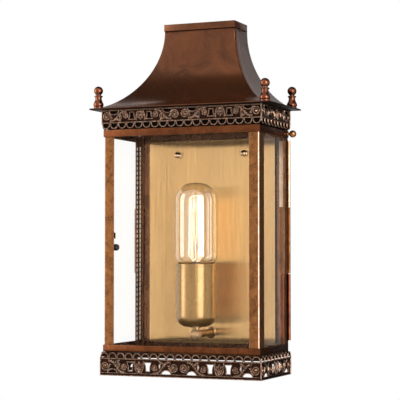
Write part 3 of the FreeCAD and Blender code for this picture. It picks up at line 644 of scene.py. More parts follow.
@dataclass(frozen=True)
class GlassFinish:
    """Clear glass that lets the lamps' light through, with a faint film of handling.

    The index is set for how strongly the glass mirrors and bends.
    """

    name: str
    tint: Colour
    film: float = 0.03
    film_scale: float = 30.0
    index: float = 1.46

    def build(self, effects: Effects) -> bpy.types.Material:
        """Makes the material.

        Args:
            effects: The shared shader groups.

        Returns:
            The material.
        """
        material, graph = new_material(self.name)
        clouds = graph.group(effects.mottle, Scale=self.film_scale)
        inputs = {
            "Base Color": self.tint,
            "Roughness": graph.spread(clouds, 0.0, self.film),
            "IOR": self.index,
            "Transmission Weight": 1.0,
        }
        shader = graph.add("ShaderNodeBsdfPrincipled", inputs)
        clear = graph.add("ShaderNodeBsdfTransparent", {"Color": self.tint})
        path = graph.add("ShaderNodeLightPath")
        through = graph.math("MAXIMUM", path.outputs["Is Shadow Ray"], path.outputs["Is Diffuse Ray"])
        inputs = {0: through, 1: shader.outputs[0], 2: clear.outputs[0]}
        graph.show(graph.add("ShaderNodeMixShader", inputs))
        return material


@dataclass(frozen=True)
class SolidFinish:
    """A glazed or moulded surface with slight clouding."""

    name: str
    base: Colour
    dark: Colour
    rough_low: float
    rough_high: float
    cloud_scale: float = 60.0

    def build(self, effects: Effects) -> bpy.types.Material:
        """Makes the material.

        Args:
            effects: The shared shader groups.

        Returns:
            The material.
        """
        material, graph = new_material(self.name)
        clouds = graph.group(effects.mottle, Scale=self.cloud_scale)
        inputs = {
            "Base Color": graph.mix(clouds, self.dark, self.base),
            "Roughness": graph.spread(clouds, self.rough_high, self.rough_low),
        }
        graph.show(graph.add("ShaderNodeBsdfPrincipled", inputs))
        return material


@dataclass(frozen=True)
class GlowFinish:
    """Bright wire that glows where it is lit."""

    name: str
    base: Colour
    dark: Colour
    glow: Colour
    strength: float
    cloud_scale: float = 200.0
    rough_low: float = 0.25
    rough_high: float = 0.4

    def build(self, effects: Effects) -> bpy.types.Material:
        """Makes the material.

        Args:
            effects: The shared shader groups.

        Returns:
            The material.
        """
        material, graph = new_material(self.name)
        clouds = graph.group(effects.mottle, Scale=self.cloud_scale)
        inputs = {
            "Base Color": graph.mix(clouds, self.dark, self.base),
            "Metallic": 1.0,
            "Roughness": graph.spread(clouds, self.rough_high, self.rough_low),
            "Emission Color": self.glow,
            "Emission Strength": self.strength,
        }
        graph.show(graph.add("ShaderNodeBsdfPrincipled", inputs))
        return material


FINISHES = (
    MetalFinish("roof_copper", base=srgb(118, 69, 40), dark=srgb(82, 47, 29), light=srgb(134, 84, 54),
                edge=srgb(158, 108, 80), edge_amount=0.4, cloud_scale=26.0, cloud_warp=0.8,
                speck_scale=350.0, speck_amount=0.2, rough_low=0.18, rough_high=0.32, grime_amount=0.6,
                metallic=0.75),
    MetalFinish("gallery_bronze", base=srgb(48, 29, 21), dark=srgb(26, 16, 12), light=srgb(82, 52, 38),
                edge=srgb(160, 118, 92), cloud_scale=90.0, edge_width=0.0004, edge_amount=0.5,
                rough_low=0.3, rough_high=0.5, grime_reach=0.002, grime_amount=0.9),
    # Painted glints: near-white specks and edges paint highlights on the raised scrollwork.
    MetalFinish("scroll_bronze", base=srgb(164, 114, 82), dark=srgb(66, 40, 27),
                light=srgb(246, 216, 192), edge=srgb(248, 226, 208), cloud_scale=160.0, speck_scale=520.0,
                speck_amount=0.7, edge_width=0.0003, edge_amount=0.4, rough_low=0.26, rough_high=0.4,
                grime_reach=0.0016, grime_amount=0.95),
    MetalFinish("bright_copper", base=srgb(138, 73, 42), dark=srgb(86, 42, 24), light=srgb(188, 118, 80),
                edge=srgb(220, 164, 128), cloud_scale=70.0, rough_low=0.08, rough_high=0.14, coat=0.35,
                grime_reach=0.003, grime_amount=0.85),
    MetalFinish("cage_copper", base=srgb(150, 95, 51), dark=srgb(86, 47, 23), light=srgb(184, 132, 78),
                edge=srgb(236, 198, 174), cloud_scale=95.0, cloud_warp=1.0, speck_scale=900.0,
                speck_amount=0.55, rough_low=0.26, rough_high=0.42, grime_amount=0.7, metallic=0.9),
    # Painted shade: a darker copy of the cage copper, for the rails.
    MetalFinish("rail_shaded_copper", base=srgb(116, 65, 37), dark=srgb(72, 39, 23), light=srgb(144, 90, 55),
                edge=srgb(176, 118, 82), cloud_scale=80.0, cloud_warp=1.0, speck_scale=900.0,
                speck_amount=0.4, rough_low=0.24, rough_high=0.4, grime_amount=0.8),
    # Painted shadow: a long shade reach and a slate shade colour darken the back plate near the head frame
    # and rails.
    MetalFinish("back_copper", base=srgb(164, 112, 78), dark=srgb(118, 80, 58), light=srgb(180, 130, 96),
                edge=srgb(146, 108, 84), cloud_scale=40.0, rough_low=0.2, rough_high=0.34,
                grime_reach=0.02, grime_amount=0.6, deep=srgb(44, 36, 34)),
    MetalFinish("shadow_bronze", base=srgb(16, 12, 10), dark=srgb(8, 6, 5), light=srgb(28, 22, 18),
                edge=srgb(42, 33, 28), cloud_scale=60.0, rough_low=0.5, rough_high=0.65),
    # Painted highlight: pale copper for faces along the near corner that catch a lamp.
    MetalFinish("corner_highlight_copper", base=srgb(226, 184, 160), dark=srgb(196, 146, 118),
                light=srgb(240, 210, 192), edge=srgb(246, 222, 206), cloud_scale=140.0, rough_low=0.22,
                rough_high=0.36, grime_amount=0.2),
    MetalFinish("reflector_brass", base=srgb(202, 160, 106), dark=srgb(192, 148, 94),
                light=srgb(220, 178, 122), edge=srgb(226, 190, 138), cloud_scale=10.0, speck_amount=0.12,
                rough_low=0.16, rough_high=0.2, strokes=0.04, grain=0.35, grime_amount=0.2, metallic=0.85,
                anisotropic=1.0),
    MetalFinish("lamp_brass", base=srgb(150, 111, 57), dark=srgb(128, 92, 43), light=srgb(170, 131, 75),
                edge=srgb(222, 194, 148), cloud_scale=30.0, speck_amount=0.15, rough_low=0.25,
                rough_high=0.32, coat=0.6, strokes=0.06, grain=0.15, grime_amount=0.4, metallic=0.68),
    # Painted light: a lighter copy of the lamp brass for the arm's ball, with a knurl bump.
    MetalFinish("knurled_lit_brass", base=srgb(206, 166, 120), dark=srgb(164, 122, 80),
                light=srgb(232, 202, 160), edge=srgb(240, 216, 180), cloud_scale=240.0,
                speck_scale=1800.0, speck_amount=0.7, rough_low=0.4, rough_high=0.6, grain=0.5,
                grime_amount=0.4, metallic=0.5),
    MetalFinish("hinge_brass", base=srgb(222, 196, 168), dark=srgb(180, 146, 112),
                light=srgb(236, 216, 190), edge=srgb(244, 228, 206), cloud_scale=40.0, rough_low=0.2,
                rough_high=0.34),
    MetalFinish("knob_brass", base=srgb(184, 132, 86), dark=srgb(140, 92, 54), light=srgb(214, 168, 122),
                edge=srgb(230, 192, 150), cloud_scale=120.0, rough_low=0.12, rough_high=0.2,
                grime_reach=0.002, grime_amount=0.7),
    # Pale white for the two rows of dashes at the left pane's rear edge.
    SolidFinish("pale_dash_white", base=srgb(244, 240, 230), dark=srgb(222, 212, 194), rough_low=0.35,
                rough_high=0.5),
    SolidFinish("holder_ceramic", base=srgb(226, 220, 206), dark=srgb(204, 196, 180), rough_low=0.25,
                rough_high=0.4),
    MetalFinish("cap_metal", base=srgb(206, 190, 140), dark=srgb(178, 158, 108),
                light=srgb(224, 212, 170), edge=srgb(238, 228, 196), rough_low=0.2, rough_high=0.34),
    GlassFinish("bulb_glass", tint=srgb(255, 250, 240), film=0.02, index=1.75),
    GlowFinish("filament_wire", base=srgb(226, 196, 150), dark=srgb(190, 150, 100),
               glow=srgb(255, 246, 232), strength=1.3),
    GlassFinish("pane_glass", tint=srgb(255, 255, 254), film=0.01, film_scale=9.0, index=1.11),
    SolidFinish("screw_black", base=srgb(16, 16, 17), dark=srgb(8, 8, 9), rough_low=0.3, rough_high=0.5),
)


class Workshop:
    """Makes the finishes and sets finished pieces on the frame."""

    def __init__(self) -> None:
        """Builds each finish once."""
        effects = Effects()
        self.finishes = {finish.name: finish.build(effects) for finish in FINISHES}
        self.slots = {row["node"]: row["material_slot"] for row in frame["record"]["subparts"]}

    def piece(
        self,
        form: Form,
        body: Body,
        nodes: Sequence[str],
        name: Optional[str] = None,
        slot: Optional[str] = None,
        finish: Optional[str] = None,
        crease: float = CREASE,
    ) -> bpy.types.Object:
        """Sets a new piece on the frame.

        Args:
            form: Its mesh in the making.
            body: The body that it moves with.
            nodes: The CAD nodes that it stands for.
            name: Its name, when it isn't that of its first node with _skin added.
            slot: Its material slot, when it isn't that of its first node.
            finish: Its finish, when it isn't the one named for its slot.
            crease: Angle in degrees past which an edge stays sharp.

        Returns:
            The piece.
        """
        name = name or f"{nodes[0]}_skin"
        slot = slot or self.slots[nodes[0]]
        mesh = form.mesh(name, crease)
        mesh.materials.append(self.finishes[finish or slot])
        piece = bpy.data.objects.new(name, mesh)
        bpy.context.scene.collection.objects.link(piece)
        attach(piece, body.value)
        if nodes:
            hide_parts(*nodes)
        log.info("%s: %d faces on %s", name, len(mesh.polygons), body.value)
        return piece

    def block(
        self,
        node: str,
        body: Body,
        edge: float,
        steps: int = 2,
        **options: object,
    ) -> bpy.types.Object:
        """Sets a block with rounded edges in the place of a CAD node.

        Args:
            node: The node's name.
            body: The body that it moves with.
            edge: Radius of its edges in millimetres.
            steps: Faces across an edge.
            options: Finish and crease, as for a piece.

        Returns:
            The piece.
        """
        form = Form()
        form.slab(*node_box(node), edge, steps)
        return self.piece(form, body, [node], **options)

    def turned(self, node: str, body: Body, lathe: tuple, ring: bool = False, **options: object) -> None:
        """Sets a turned piece in the place of a CAD node.

        Args:
            node: The node's name.
            body: The body that it moves with.
            lathe: Its half section, where its axis stands, and the number of faces round the axis.
            ring: Whether the half section closes on itself, as a tube's wall does.
            options: Finish and crease, as for a piece.
        """
        form = Form()
        form.lathe(*lathe, ring)
        self.piece(form, body, [node], **options)

    def dress(self, node: str, edge: float, finish: Optional[str] = None) -> None:
        """Gives a CAD node its finish and eased edges.

        Args:
            node: The node's name.
            edge: Radius of its edges in millimetres.
            finish: Its finish, when it isn't the one named for its slot.
        """
        piece = frame["nodes"][node]
        piece.data.materials.clear()
        piece.data.materials.append(self.finishes[finish or self.slots[node]])
        ease = piece.modifiers.new("eased edges", "BEVEL")
        ease.width = edge * MM
        ease.segments = EASED_STEPS
        ease.limit_method = "ANGLE"
        ease.angle_limit = math.radians(EASED_ANGLE)
        log.info("%s: dressed", node)

    def polish(self, piece: bpy.types.Object, direction: Vector) -> None:
        """Paints a highlight: gives the pale highlight finish to the faces that look one way.

        Args:
            piece: The piece.
            direction: The way that the highlit faces look.
        """
        piece.data.materials.append(self.finishes["corner_highlight_copper"])
        for face in piece.data.polygons:
            face.material_index = int(face.normal.dot(direction) > HIGHLIGHT_SPREAD)


def upright(x: float, y: float, z: float) -> Matrix:
    """The place of a vertical axis that starts at a point."""
    return Matrix.Translation((x, y, z))


def facing(start: Vector, direction: Vector) -> Matrix:
    """The place of an axis that starts at a point and runs in a direction."""
    return Matrix.Translation(start) @ UP.rotation_difference(direction).to_matrix().to_4x4()


@dataclass
class Assembly:
    """A sub-assembly of the lantern, with the workshop that finishes its pieces."""

    shop: Workshop


@dataclass
class Roof(Assembly):
    """The flared sheet roof, its cap band and the soffit under it."""

    sheet: float = 0.9
    fall: float = 0.56
    reach: float = 0.39
    rows: int = 40
    hip_round: float = 1.4
    hip_steps: int = 4
    cap_edge: float = 0.5
    cap_bead: float = 0.5
    bead_sides: int = 8
    soffit_edge: float = 0.25

    def build(self) -> None:
        """Makes the roof's pieces."""
        self._shell()
        self._cap()
        self.shop.block("soffit_plate", Body.LANTERN, self.soffit_edge, finish="shadow_bronze")

    def _row(self, half: float, front: float, back: float, level: float) -> list[Vector]:
        """One level of the roof's skin.

        Args:
            half: Half its width.
            front: How far forward it comes.
            back: Where it meets the wall.
            level: Its height.

        Returns:
            Points from the rear left round to the rear right.
        """
        bend = min(self.hip_round, half, -front)
        left = arc((-half + bend, front + bend), bend, 180.0, 270.0, self.hip_steps)
        right = arc((half - bend, front + bend), bend, 270.0, 360.0, self.hip_steps)
        plan = [(-half, back), *left, *right, (half, back)]
        return [Vector((x, y, level)) for x, y in plan]

    def _shell(self) -> None:
        """Makes the flared sheet."""
        low, high = node_box("roof_shell")
        crown_low, crown_high = node_box("roof_cap")
        crown = crown_high.x - self.cap_bead
        crown_front = crown_low.y + self.cap_bead
        lift = low.z + self.sheet
        span = high.z - lift
        across = bezier([(crown, high.z), (crown, high.z - self.fall * span),
                         (high.x - self.reach * (high.x - crown), lift), (high.x, lift)], self.rows)
        bend = low.y - self.reach * (low.y - crown_front)
        ahead = bezier([(crown_front, 0.0), (crown_front, 0.0), (bend, 0.0), (low.y, 0.0)], self.rows)
        form = Form()
        form.shell([self._row(x, y, high.y, z) for (x, z), (y, _) in zip(across, ahead)])
        piece = self.shop.piece(form, Body.LANTERN, ["roof_shell"], crease=SOFT_CREASE)
        sheet = piece.modifiers.new("sheet", "SOLIDIFY")
        sheet.thickness = self.sheet * MM
        sheet.offset = -1.0
        piece.data.materials.append(self.shop.finishes["shadow_bronze"])
        sheet.material_offset = 1

    def _cap(self) -> None:
        """Makes the cap band with a bead along its lower edge."""
        low, high = node_box("roof_cap")
        form = Form()
        form.slab(low, high, self.cap_edge)
        level = low.z + self.cap_bead
        inset = self.cap_bead / 2
        left, right, front = low.x + inset, high.x - inset, low.y + inset
        plan = [(left, high.y), (left, front), (right, front), (right, high.y)]
        form.tube([Vector((x, y, level)) for x, y in plan], self.cap_bead, UP, sides=self.bead_sides)
        self.shop.piece(form, Body.LANTERN, ["roof_cap"])


@dataclass
class Finial(Assembly):
    """The four turned corner finials."""

    height: float = 26.3
    ball: float = 5.4
    neck: float = 3.0
    collar: float = 5.0
    collar_level: float = 14.3
    collar_half: float = 1.1
    waist: float = 3.8
    waist_level: float = 12.2
    bell: float = 6.1
    bell_level: float = 4.9
    foot: float = 5.6
    groove: float = 5.1
    groove_level: float = 2.6
    lip: float = 0.6
    flare_in: float = 0.3
    flare_rise: float = 2.6
    flare_hollow: float = 3.6
    neck_gap: float = 0.4
    ring_sweep: float = 88.0
    cushion_steps: int = 6
    flare_steps: int = 10
    ball_steps: int = 16
    steps: int = 48

    def profile(self) -> list[Flat]:
        """The half section from the foot up to the crown of the ball.

        Returns:
            Points as radius and height.
        """
        middle = self.height - self.ball
        reach = math.degrees(math.acos(self.neck / self.ball))
        cushion = bezier([(self.groove, self.groove_level), (self.bell, self.groove_level),
                          (self.bell, self.bell_level - self.lip), (self.bell, self.bell_level)],
                         self.cushion_steps)
        flare = bezier([(self.bell, self.bell_level),
                        (self.bell - self.flare_in, self.bell_level + self.flare_rise),
                        (self.waist, self.waist_level - self.flare_hollow), (self.waist, self.waist_level)],
                       self.flare_steps)
        bulge = self.collar - self.waist
        ring = [(self.waist + bulge * r, self.collar_level + self.collar_half * z)
                for r, z in arc((0.0, 0.0), 1.0, -self.ring_sweep, self.ring_sweep, self.flare_steps)]
        crown = arc((0.0, middle), self.ball, -reach, 90.0, self.ball_steps)
        base = [(0.0, 0.0), (self.foot, 0.0), (self.foot, self.groove_level - self.lip)]
        neck = (self.neck, self.collar_level + self.collar_half + self.neck_gap)
        return [*base, *cushion, *flare[1:], *ring, neck, *crown[:-1], (0.0, self.height)]

    def build(self) -> None:
        """Makes the four finials."""
        for row in ("front", "rear"):
            for side in ("left", "right"):
                node = f"finial_{row}_{side}"
                low, high = node_box(node)
                middle = (low + high) / 2
                place = upright(middle.x, middle.y, high.z - self.height)
                self.shop.turned(node, Body.LANTERN, (self.profile(), place, self.steps))


@dataclass(frozen=True)
class Stroke:
    """A raised line of the scrollwork."""

    points: list[Flat]
    radius: float
    closed: bool = False
    tip: Optional[float] = None


Pole = tuple[float, Level, float]


@dataclass(frozen=True)
class Stem:
    """A curved stem of the scrollwork, beside a panel's middle.

    Each pole is a distance from the panel's middle, a level of the filigree and a rise from that level.
    """

    poles: tuple[Pole, ...]
    steps: int = 8
    leafy: bool = True


@dataclass
class Gallery(Assembly):
    """A gallery of pierced scrollwork on the front and the two sides."""

    name: str
    border: float
    filigree: float
    over: bool
    bar: float = 1.6
    leg: float = 1.2
    rim: float = 1.45
    panels: dict[Side, int] = field(default_factory=lambda: {Side.FRONT: 2, Side.LEFT: 1, Side.RIGHT: 1})
    scallops: dict[Side, int] = field(default_factory=lambda: {Side.FRONT: 19, Side.LEFT: 9, Side.RIGHT: 9})
    crease: float = 50.0
    # The pierced sheet
    plate_edge: float = 0.16
    head_steps: int = 12
    hole_steps: int = 10
    vase_offset: float = 11.0
    vase_wide: float = 4.9
    vase_narrow: float = 2.8
    vase_waist: float = 2.3
    vase_margin: float = 2.5
    vase_flare: float = 2.6
    vase_foot: float = 3.0
    vase_steps: int = 8
    crescent_offset: float = 27.5
    crescent_tall: float = 3.4
    crescent_deep: float = 2.8
    crescent_hollow: float = 0.85
    hollow_steps: int = 6
    moon_offset: float = 34.0
    moon_half: float = 5.6
    moon_tall: float = 4.2
    moon_steps: int = 14
    # The raised lines
    wire: float = 0.6
    bead: float = 0.7
    border_wire: float = 0.3
    bar_wire: float = 0.65
    rim_wire: float = 0.6
    moon_margin: float = 0.4
    # Stems
    stem_margin: float = 0.8
    fork: Pole = (30.0, Level.MIDDLE, 1.0)
    stems: tuple[Stem, ...] = (
        Stem(((2.0, Level.FOOT, 0.0), (5.0, Level.FOOT, 1.0), (6.0, Level.MIDDLE, 0.0),
              (5.2, Level.HEAD, 0.0)), leafy=False),
        Stem(((17.4, Level.FOOT, 0.0), (24.0, Level.FOOT, -0.4), (27.0, Level.FOOT, 2.6), fork), steps=10),
        Stem((fork, (32.0, Level.MIDDLE, 4.0), (35.5, Level.HEAD, 0.0), (39.0, Level.HEAD, -0.8))),
        Stem(((24.6, Level.HEAD, 0.0), (27.0, Level.HEAD, -1.0), (30.0, Level.HEAD, -2.0),
              (31.6, Level.MIDDLE, 1.5))),
        Stem(((40.4, Level.FOOT, 0.6), (40.0, Level.FOOT, 2.0), (38.5, Level.MIDDLE, -1.0),
              (37.0, Level.MIDDLE, 2.4))),
    )
    # Scrolls
    rosette_offset: float = 43.4
    rosette: float = 5.2
    rosette_wire: float = 0.7
    rosette_start: float = 200.0
    curl_offset: float = 19.4
    curl: float = 3.9
    curl_drop: float = 0.4
    curl_start: float = -20.0
    scroll_steps: int = 36
    scroll_turns: float = 1.8
    scroll_close: float = 0.74
    # Leaves and palmettes
    leaf: float = 2.6
    leaf_lean: float = 0.95
    leaf_curl: float = 0.3
    leaf_wire: float = 0.54
    leaf_tip: float = 0.12
    petals: tuple[float, ...] = (-40.0, -20.0, 0.0, 20.0, 40.0)
    petal_low: float = 1.6
    petal_spare: float = 3.6
    petal_shrink: float = 0.0075
    petal_wide: float = 1.15
    petal_middle: float = 0.56
    petal_half: float = 0.44
    petal_wire: float = 0.42
    petal_steps: int = 14
    # Bosses
    boss_flat: float = 0.7
    boss_steps: int = 4
    boss_sides: int = 10
    petal_boss_level: float = 2.0
    petal_boss: float = 1.3
    rosette_boss: float = 1.5
    curl_boss: float = 1.1

    def build(self) -> None:
        """Makes the gallery's strips."""
        for side in Side:
            self._strip(side)

    def _strip(self, side: Side) -> None:
        """Makes one strip: the pierced sheet and the raised work on it.

        Args:
            side: The side that the strip is on.
        """
        node = f"{self.name}_{side.word}"
        low, high = node_box(node)
        along = -side.along if self.over else side.along
        rise = -UP if self.over else UP
        out = side.along.cross(UP)
        middle = (low + high) / 2
        extent = high - low
        length = abs(extent.dot(along))
        thick = abs(extent.dot(out))
        start = middle + out * (thick / 2) - rise * (extent.z / 2)

        def place(u: float, v: float, w: float = 0.0) -> Vector:
            """A point of the strip: along it, up it and off its face."""
            return start + along * u + rise * v + out * w

        form = Form()
        outer, holes = self._openings(length, self.panels[side], self.scallops[side])
        plate = pierced(outer, holes, thick, self.plate_edge)
        form.take(plate, lambda p: place(p.x, p.y, p.z - thick / 2))
        self.shop.piece(form, Body.LANTERN, [node], crease=self.crease)
        form = Form()
        for stroke in self._relief(length, self.panels[side], self.scallops[side]):
            line = [place(u, v) for u, v in stroke.points]
            form.tube(line, stroke.radius, out, closed=stroke.closed, end_radius=stroke.tip)
        for u, v, radius in self._bosses(length, self.panels[side]):
            dome = [*arc((0.0, 0.0), radius, 0.0, 90.0, self.boss_steps)[:-1], (0.0, radius)]
            profile = [(r, h * self.boss_flat) for r, h in dome]
            form.lathe(profile, facing(place(u, v), out), self.boss_sides)
        slot = self.shop.slots[node]
        # Painted glints: the raised work takes the scroll finish with near-white specks and edges.
        self.shop.piece(form, Body.LANTERN, [], f"{node}_scrolls", slot, "scroll_bronze", self.crease)

    def _axes(self, length: float, panels: int) -> list[float]:
        """The middles of a strip's panels."""
        return [(p + 0.5) * length / panels - length / 2 for p in range(panels)]

    def _shoulder(self) -> float:
        """The level where the scallops' round heads start."""
        return self.border + self.filigree + self.bar + self.leg

    def _openings(self, length: float, panels: int, scallops: int) -> tuple[list[Flat], list[list[Flat]]]:
        """Outlines of a strip and of its openings.

        Args:
            length: The strip's length.
            panels: Number of panels.
            scallops: Number of scallops.

        Returns:
            The outer outline and the openings.
        """
        pitch = length / scallops
        shoulder = self._shoulder()
        bar_top = shoulder - self.leg
        inner = pitch / 2 - self.rim
        outer = [(-length / 2, 0.0), (length / 2, 0.0)]
        holes = []
        for i in range(scallops):
            middle = length / 2 - (i + 0.5) * pitch
            outer += arc((middle, shoulder), pitch / 2, 0.0, 180.0, self.head_steps)[min(i, 1):]
            head = arc((middle, shoulder), inner, 0.0, 180.0, self.hole_steps)
            holes.append([(middle - inner, bar_top), (middle + inner, bar_top), *head])
        for axis in self._axes(length, panels):
            for side in (-1.0, 1.0):
                holes.append(self._vase(axis + side * self.vase_offset))
                holes.append(self._crescent(axis + side * self.crescent_offset, -side))
                holes.append(self._moon(axis + side * self.moon_offset, 0.0))
        return outer, holes

    def _vase(self, middle: float) -> list[Flat]:
        """A vase-shaped opening with a round foot and a wide mouth.

        Args:
            middle: Its place along the strip.

        Returns:
            The opening's outline.
        """
        low = self.border + self.vase_margin
        tall = self.filigree - 2 * self.vase_margin
        flank = []
        for i in range(self.vase_steps + 1):
            s = i / self.vase_steps
            mouth = (self.vase_wide - self.vase_waist) * s ** self.vase_flare
            foot = (self.vase_narrow - self.vase_waist) * (1 - s) ** self.vase_foot
            flank.append((self.vase_waist + mouth + foot, low + tall * s))
        left = [(-x, z) for x, z in reversed(flank)]
        return [(middle + x, z) for x, z in flank + left]

    def _moon(self, middle: float, margin: float) -> list[Flat]:
        """A half-moon opening that stands on the border.

        Args:
            middle: Its place along the strip.
            margin: How far outside the opening the line runs.

        Returns:
            The line from one end of the border to the other.
        """
        half, tall = self.moon_half + margin, self.moon_tall + margin
        bow = arc((0.0, 0.0), 1.0, 0.0, 180.0, self.moon_steps)
        return [(middle + half * x, self.border + tall * z) for x, z in bow]

    def _crescent(self, middle: float, bulge: float) -> list[Flat]:
        """A crescent opening that bulges to one side.

        Args:
            middle: Its place along the strip.
            bulge: 1 when it bulges along the strip, -1 when it bulges back.

        Returns:
            The opening's outline.
        """
        centre = self.border + self.filigree / 2 + self.vase_margin / 2
        back = arc((0.0, 0.0), 1.0, -90.0, 90.0, self.hole_steps)
        hollow = arc((0.0, 0.0), 1.0, 90.0, -90.0, self.hollow_steps)[1:-1]
        line = [(self.crescent_deep * x, z) for x, z in back]
        line += [(self.crescent_hollow * x, z) for x, z in hollow]
        return [(middle + bulge * x, centre + self.crescent_tall * z) for x, z in line]

    def _relief(self, length: float, panels: int, scallops: int) -> list[Stroke]:
        """Lines of the raised work.

        Args:
            length: The strip's length.
            panels: Number of panels.
            scallops: Number of scallops.

        Returns:
            The strokes of the whole strip.
        """
        end = length / 2
        bar = self.border + self.filigree + self.bar / 2
        levels = ((self.wire, self.wire), (self.border, self.border_wire), (bar, self.bar_wire))
        lines = [Stroke([(-end, v), (end, v)], radius) for v, radius in levels]
        shoulder = self._shoulder()
        foot = shoulder - self.leg
        lines += [Stroke([(u, 0.0), (u, shoulder)], self.bead) for u in (-end, end)]
        pitch = length / scallops
        middle_rim = pitch / 2 - self.rim / 2
        for i in range(scallops):
            middle = end - (i + 0.5) * pitch
            head = arc((middle, shoulder), middle_rim, 0.0, 180.0, self.head_steps)
            loop = [(middle + middle_rim, foot), *head, (middle - middle_rim, foot)]
            lines.append(Stroke(loop, self.rim_wire))
        for axis in self._axes(length, panels):
            for side in (-1.0, 1.0):
                lines += self._flank(axis, side)
            lines += self._palmette(axis)
        return lines

    def _flank(self, axis: float, side: float) -> list[Stroke]:
        """Raised lines on one side of a panel's middle: rims, curls, a rosette and leafy stems.

        Args:
            axis: The panel's middle.
            side: -1 for its left half, 1 for its right half.

        Returns:
            The strokes of this half.
        """
        centre = self.border + self.filigree / 2
        levels = {
            Level.FOOT: self.border + self.stem_margin,
            Level.MIDDLE: centre,
            Level.HEAD: self.border + self.filigree - self.stem_margin,
        }

        def at(u: float, v: float) -> Flat:
            """A point beside the panel's middle."""
            return axis + side * u, v

        def spiral(u: float, v: float, radius: float, start: float, way: float) -> list[Flat]:
            """A scroll that winds in to its eye.

            Args:
                u: Its eye's distance from the panel's middle.
                v: Its eye's level.
                radius: Its radius where it starts.
                start: The angle in degrees that it starts at.
                way: 1 when it winds anticlockwise, -1 when clockwise.

            Returns:
                Points from its start to its end.
            """
            points = []
            for i in range(self.scroll_steps + 1):
                t = i / self.scroll_steps
                turn = math.radians(start) + way * 2 * math.pi * self.scroll_turns * t
                reach = radius * (1 - self.scroll_close * t)
                points.append(at(u + reach * math.cos(turn), v + reach * math.sin(turn)))
            return points

        curves = []
        for stem in self.stems:
            poles = [at(u, levels[level] + rise) for u, level, rise in stem.poles]
            curves.append(bezier(poles, stem.steps))
        lines = [Stroke(curve, self.wire) for curve in curves]
        for stem, curve in zip(self.stems, curves):
            if stem.leafy:
                lines += self._leaves(curve)
        scroll = spiral(self.rosette_offset, centre, self.rosette, self.rosette_start, 1.0)
        lines.append(Stroke(scroll, self.rosette_wire))
        scroll = spiral(self.curl_offset, centre - self.curl_drop, self.curl, self.curl_start, -1.0)
        lines.append(Stroke(scroll, self.rim_wire))
        vase = self._vase(axis + side * self.vase_offset)
        crescent = self._crescent(axis + side * self.crescent_offset, -side)
        moon = self._moon(axis + side * self.moon_offset, self.moon_margin)
        lines += [Stroke(line, self.wire, closed=True) for line in (vase, crescent)]
        lines.append(Stroke(moon, self.wire))
        return lines

    def _leaves(self, stem: list[Flat]) -> list[Stroke]:
        """Small leaves that curl off both sides of a stem.

        Args:
            stem: The stem's line.

        Returns:
            A tapering stroke for each leaf.
        """
        leaves = []
        for i in range(1, len(stem) - 1, 2):
            run = math.atan2(stem[i + 1][1] - stem[i - 1][1], stem[i + 1][0] - stem[i - 1][0])
            for way in (-1.0, 1.0):
                leaf = [stem[i]]
                for turn in (run + way * self.leaf_lean, run + way * self.leaf_lean * self.leaf_curl):
                    u, v = leaf[-1]
                    leaf.append((u + self.leaf / 2 * math.cos(turn), v + self.leaf / 2 * math.sin(turn)))
                leaves.append(Stroke(leaf, self.leaf_wire, tip=self.leaf_tip))
        return leaves

    def _palmette(self, axis: float) -> list[Stroke]:
        """Raised leaves that fan out from the foot of a panel's middle.

        Args:
            axis: The panel's middle.

        Returns:
            The outline of each leaf.
        """
        foot = self.border + self.petal_low
        tall = self.filigree - self.petal_spare
        lines = []
        for lean in self.petals:
            turn = math.radians(lean)
            reach = tall * (1.0 - self.petal_shrink * abs(lean))
            leaf = []
            for i in range(self.petal_steps):
                t = 2 * math.pi * i / self.petal_steps
                wide = self.petal_wide * math.sin(t)
                far = reach * (self.petal_middle - self.petal_half * math.cos(t))
                leaf.append((axis + far * math.sin(turn) + wide * math.cos(turn),
                             foot + far * math.cos(turn) - wide * math.sin(turn)))
            lines.append(Stroke(leaf, self.petal_wire, closed=True))
        return lines

    def _bosses(self, length: float, panels: int) -> list[tuple[float, float, float]]:
        """Round bosses at the foot of the palmettes and in the eyes of the scrolls.

        Args:
            length: The strip's length.
            panels: Number of panels.

        Returns:
            For each boss its place along the strip, its level and its radius.
        """
        centre = self.border + self.filigree / 2
        spots = []
        for axis in self._axes(length, panels):
            spots.append((axis, self.border + self.petal_boss_level, self.petal_boss))
            for side in (-1.0, 1.0):
                spots.append((axis + side * self.rosette_offset, centre, self.rosette_boss))
                spots.append((axis + side * self.curl_offset, centre - self.curl_drop, self.curl_boss))
        return spots


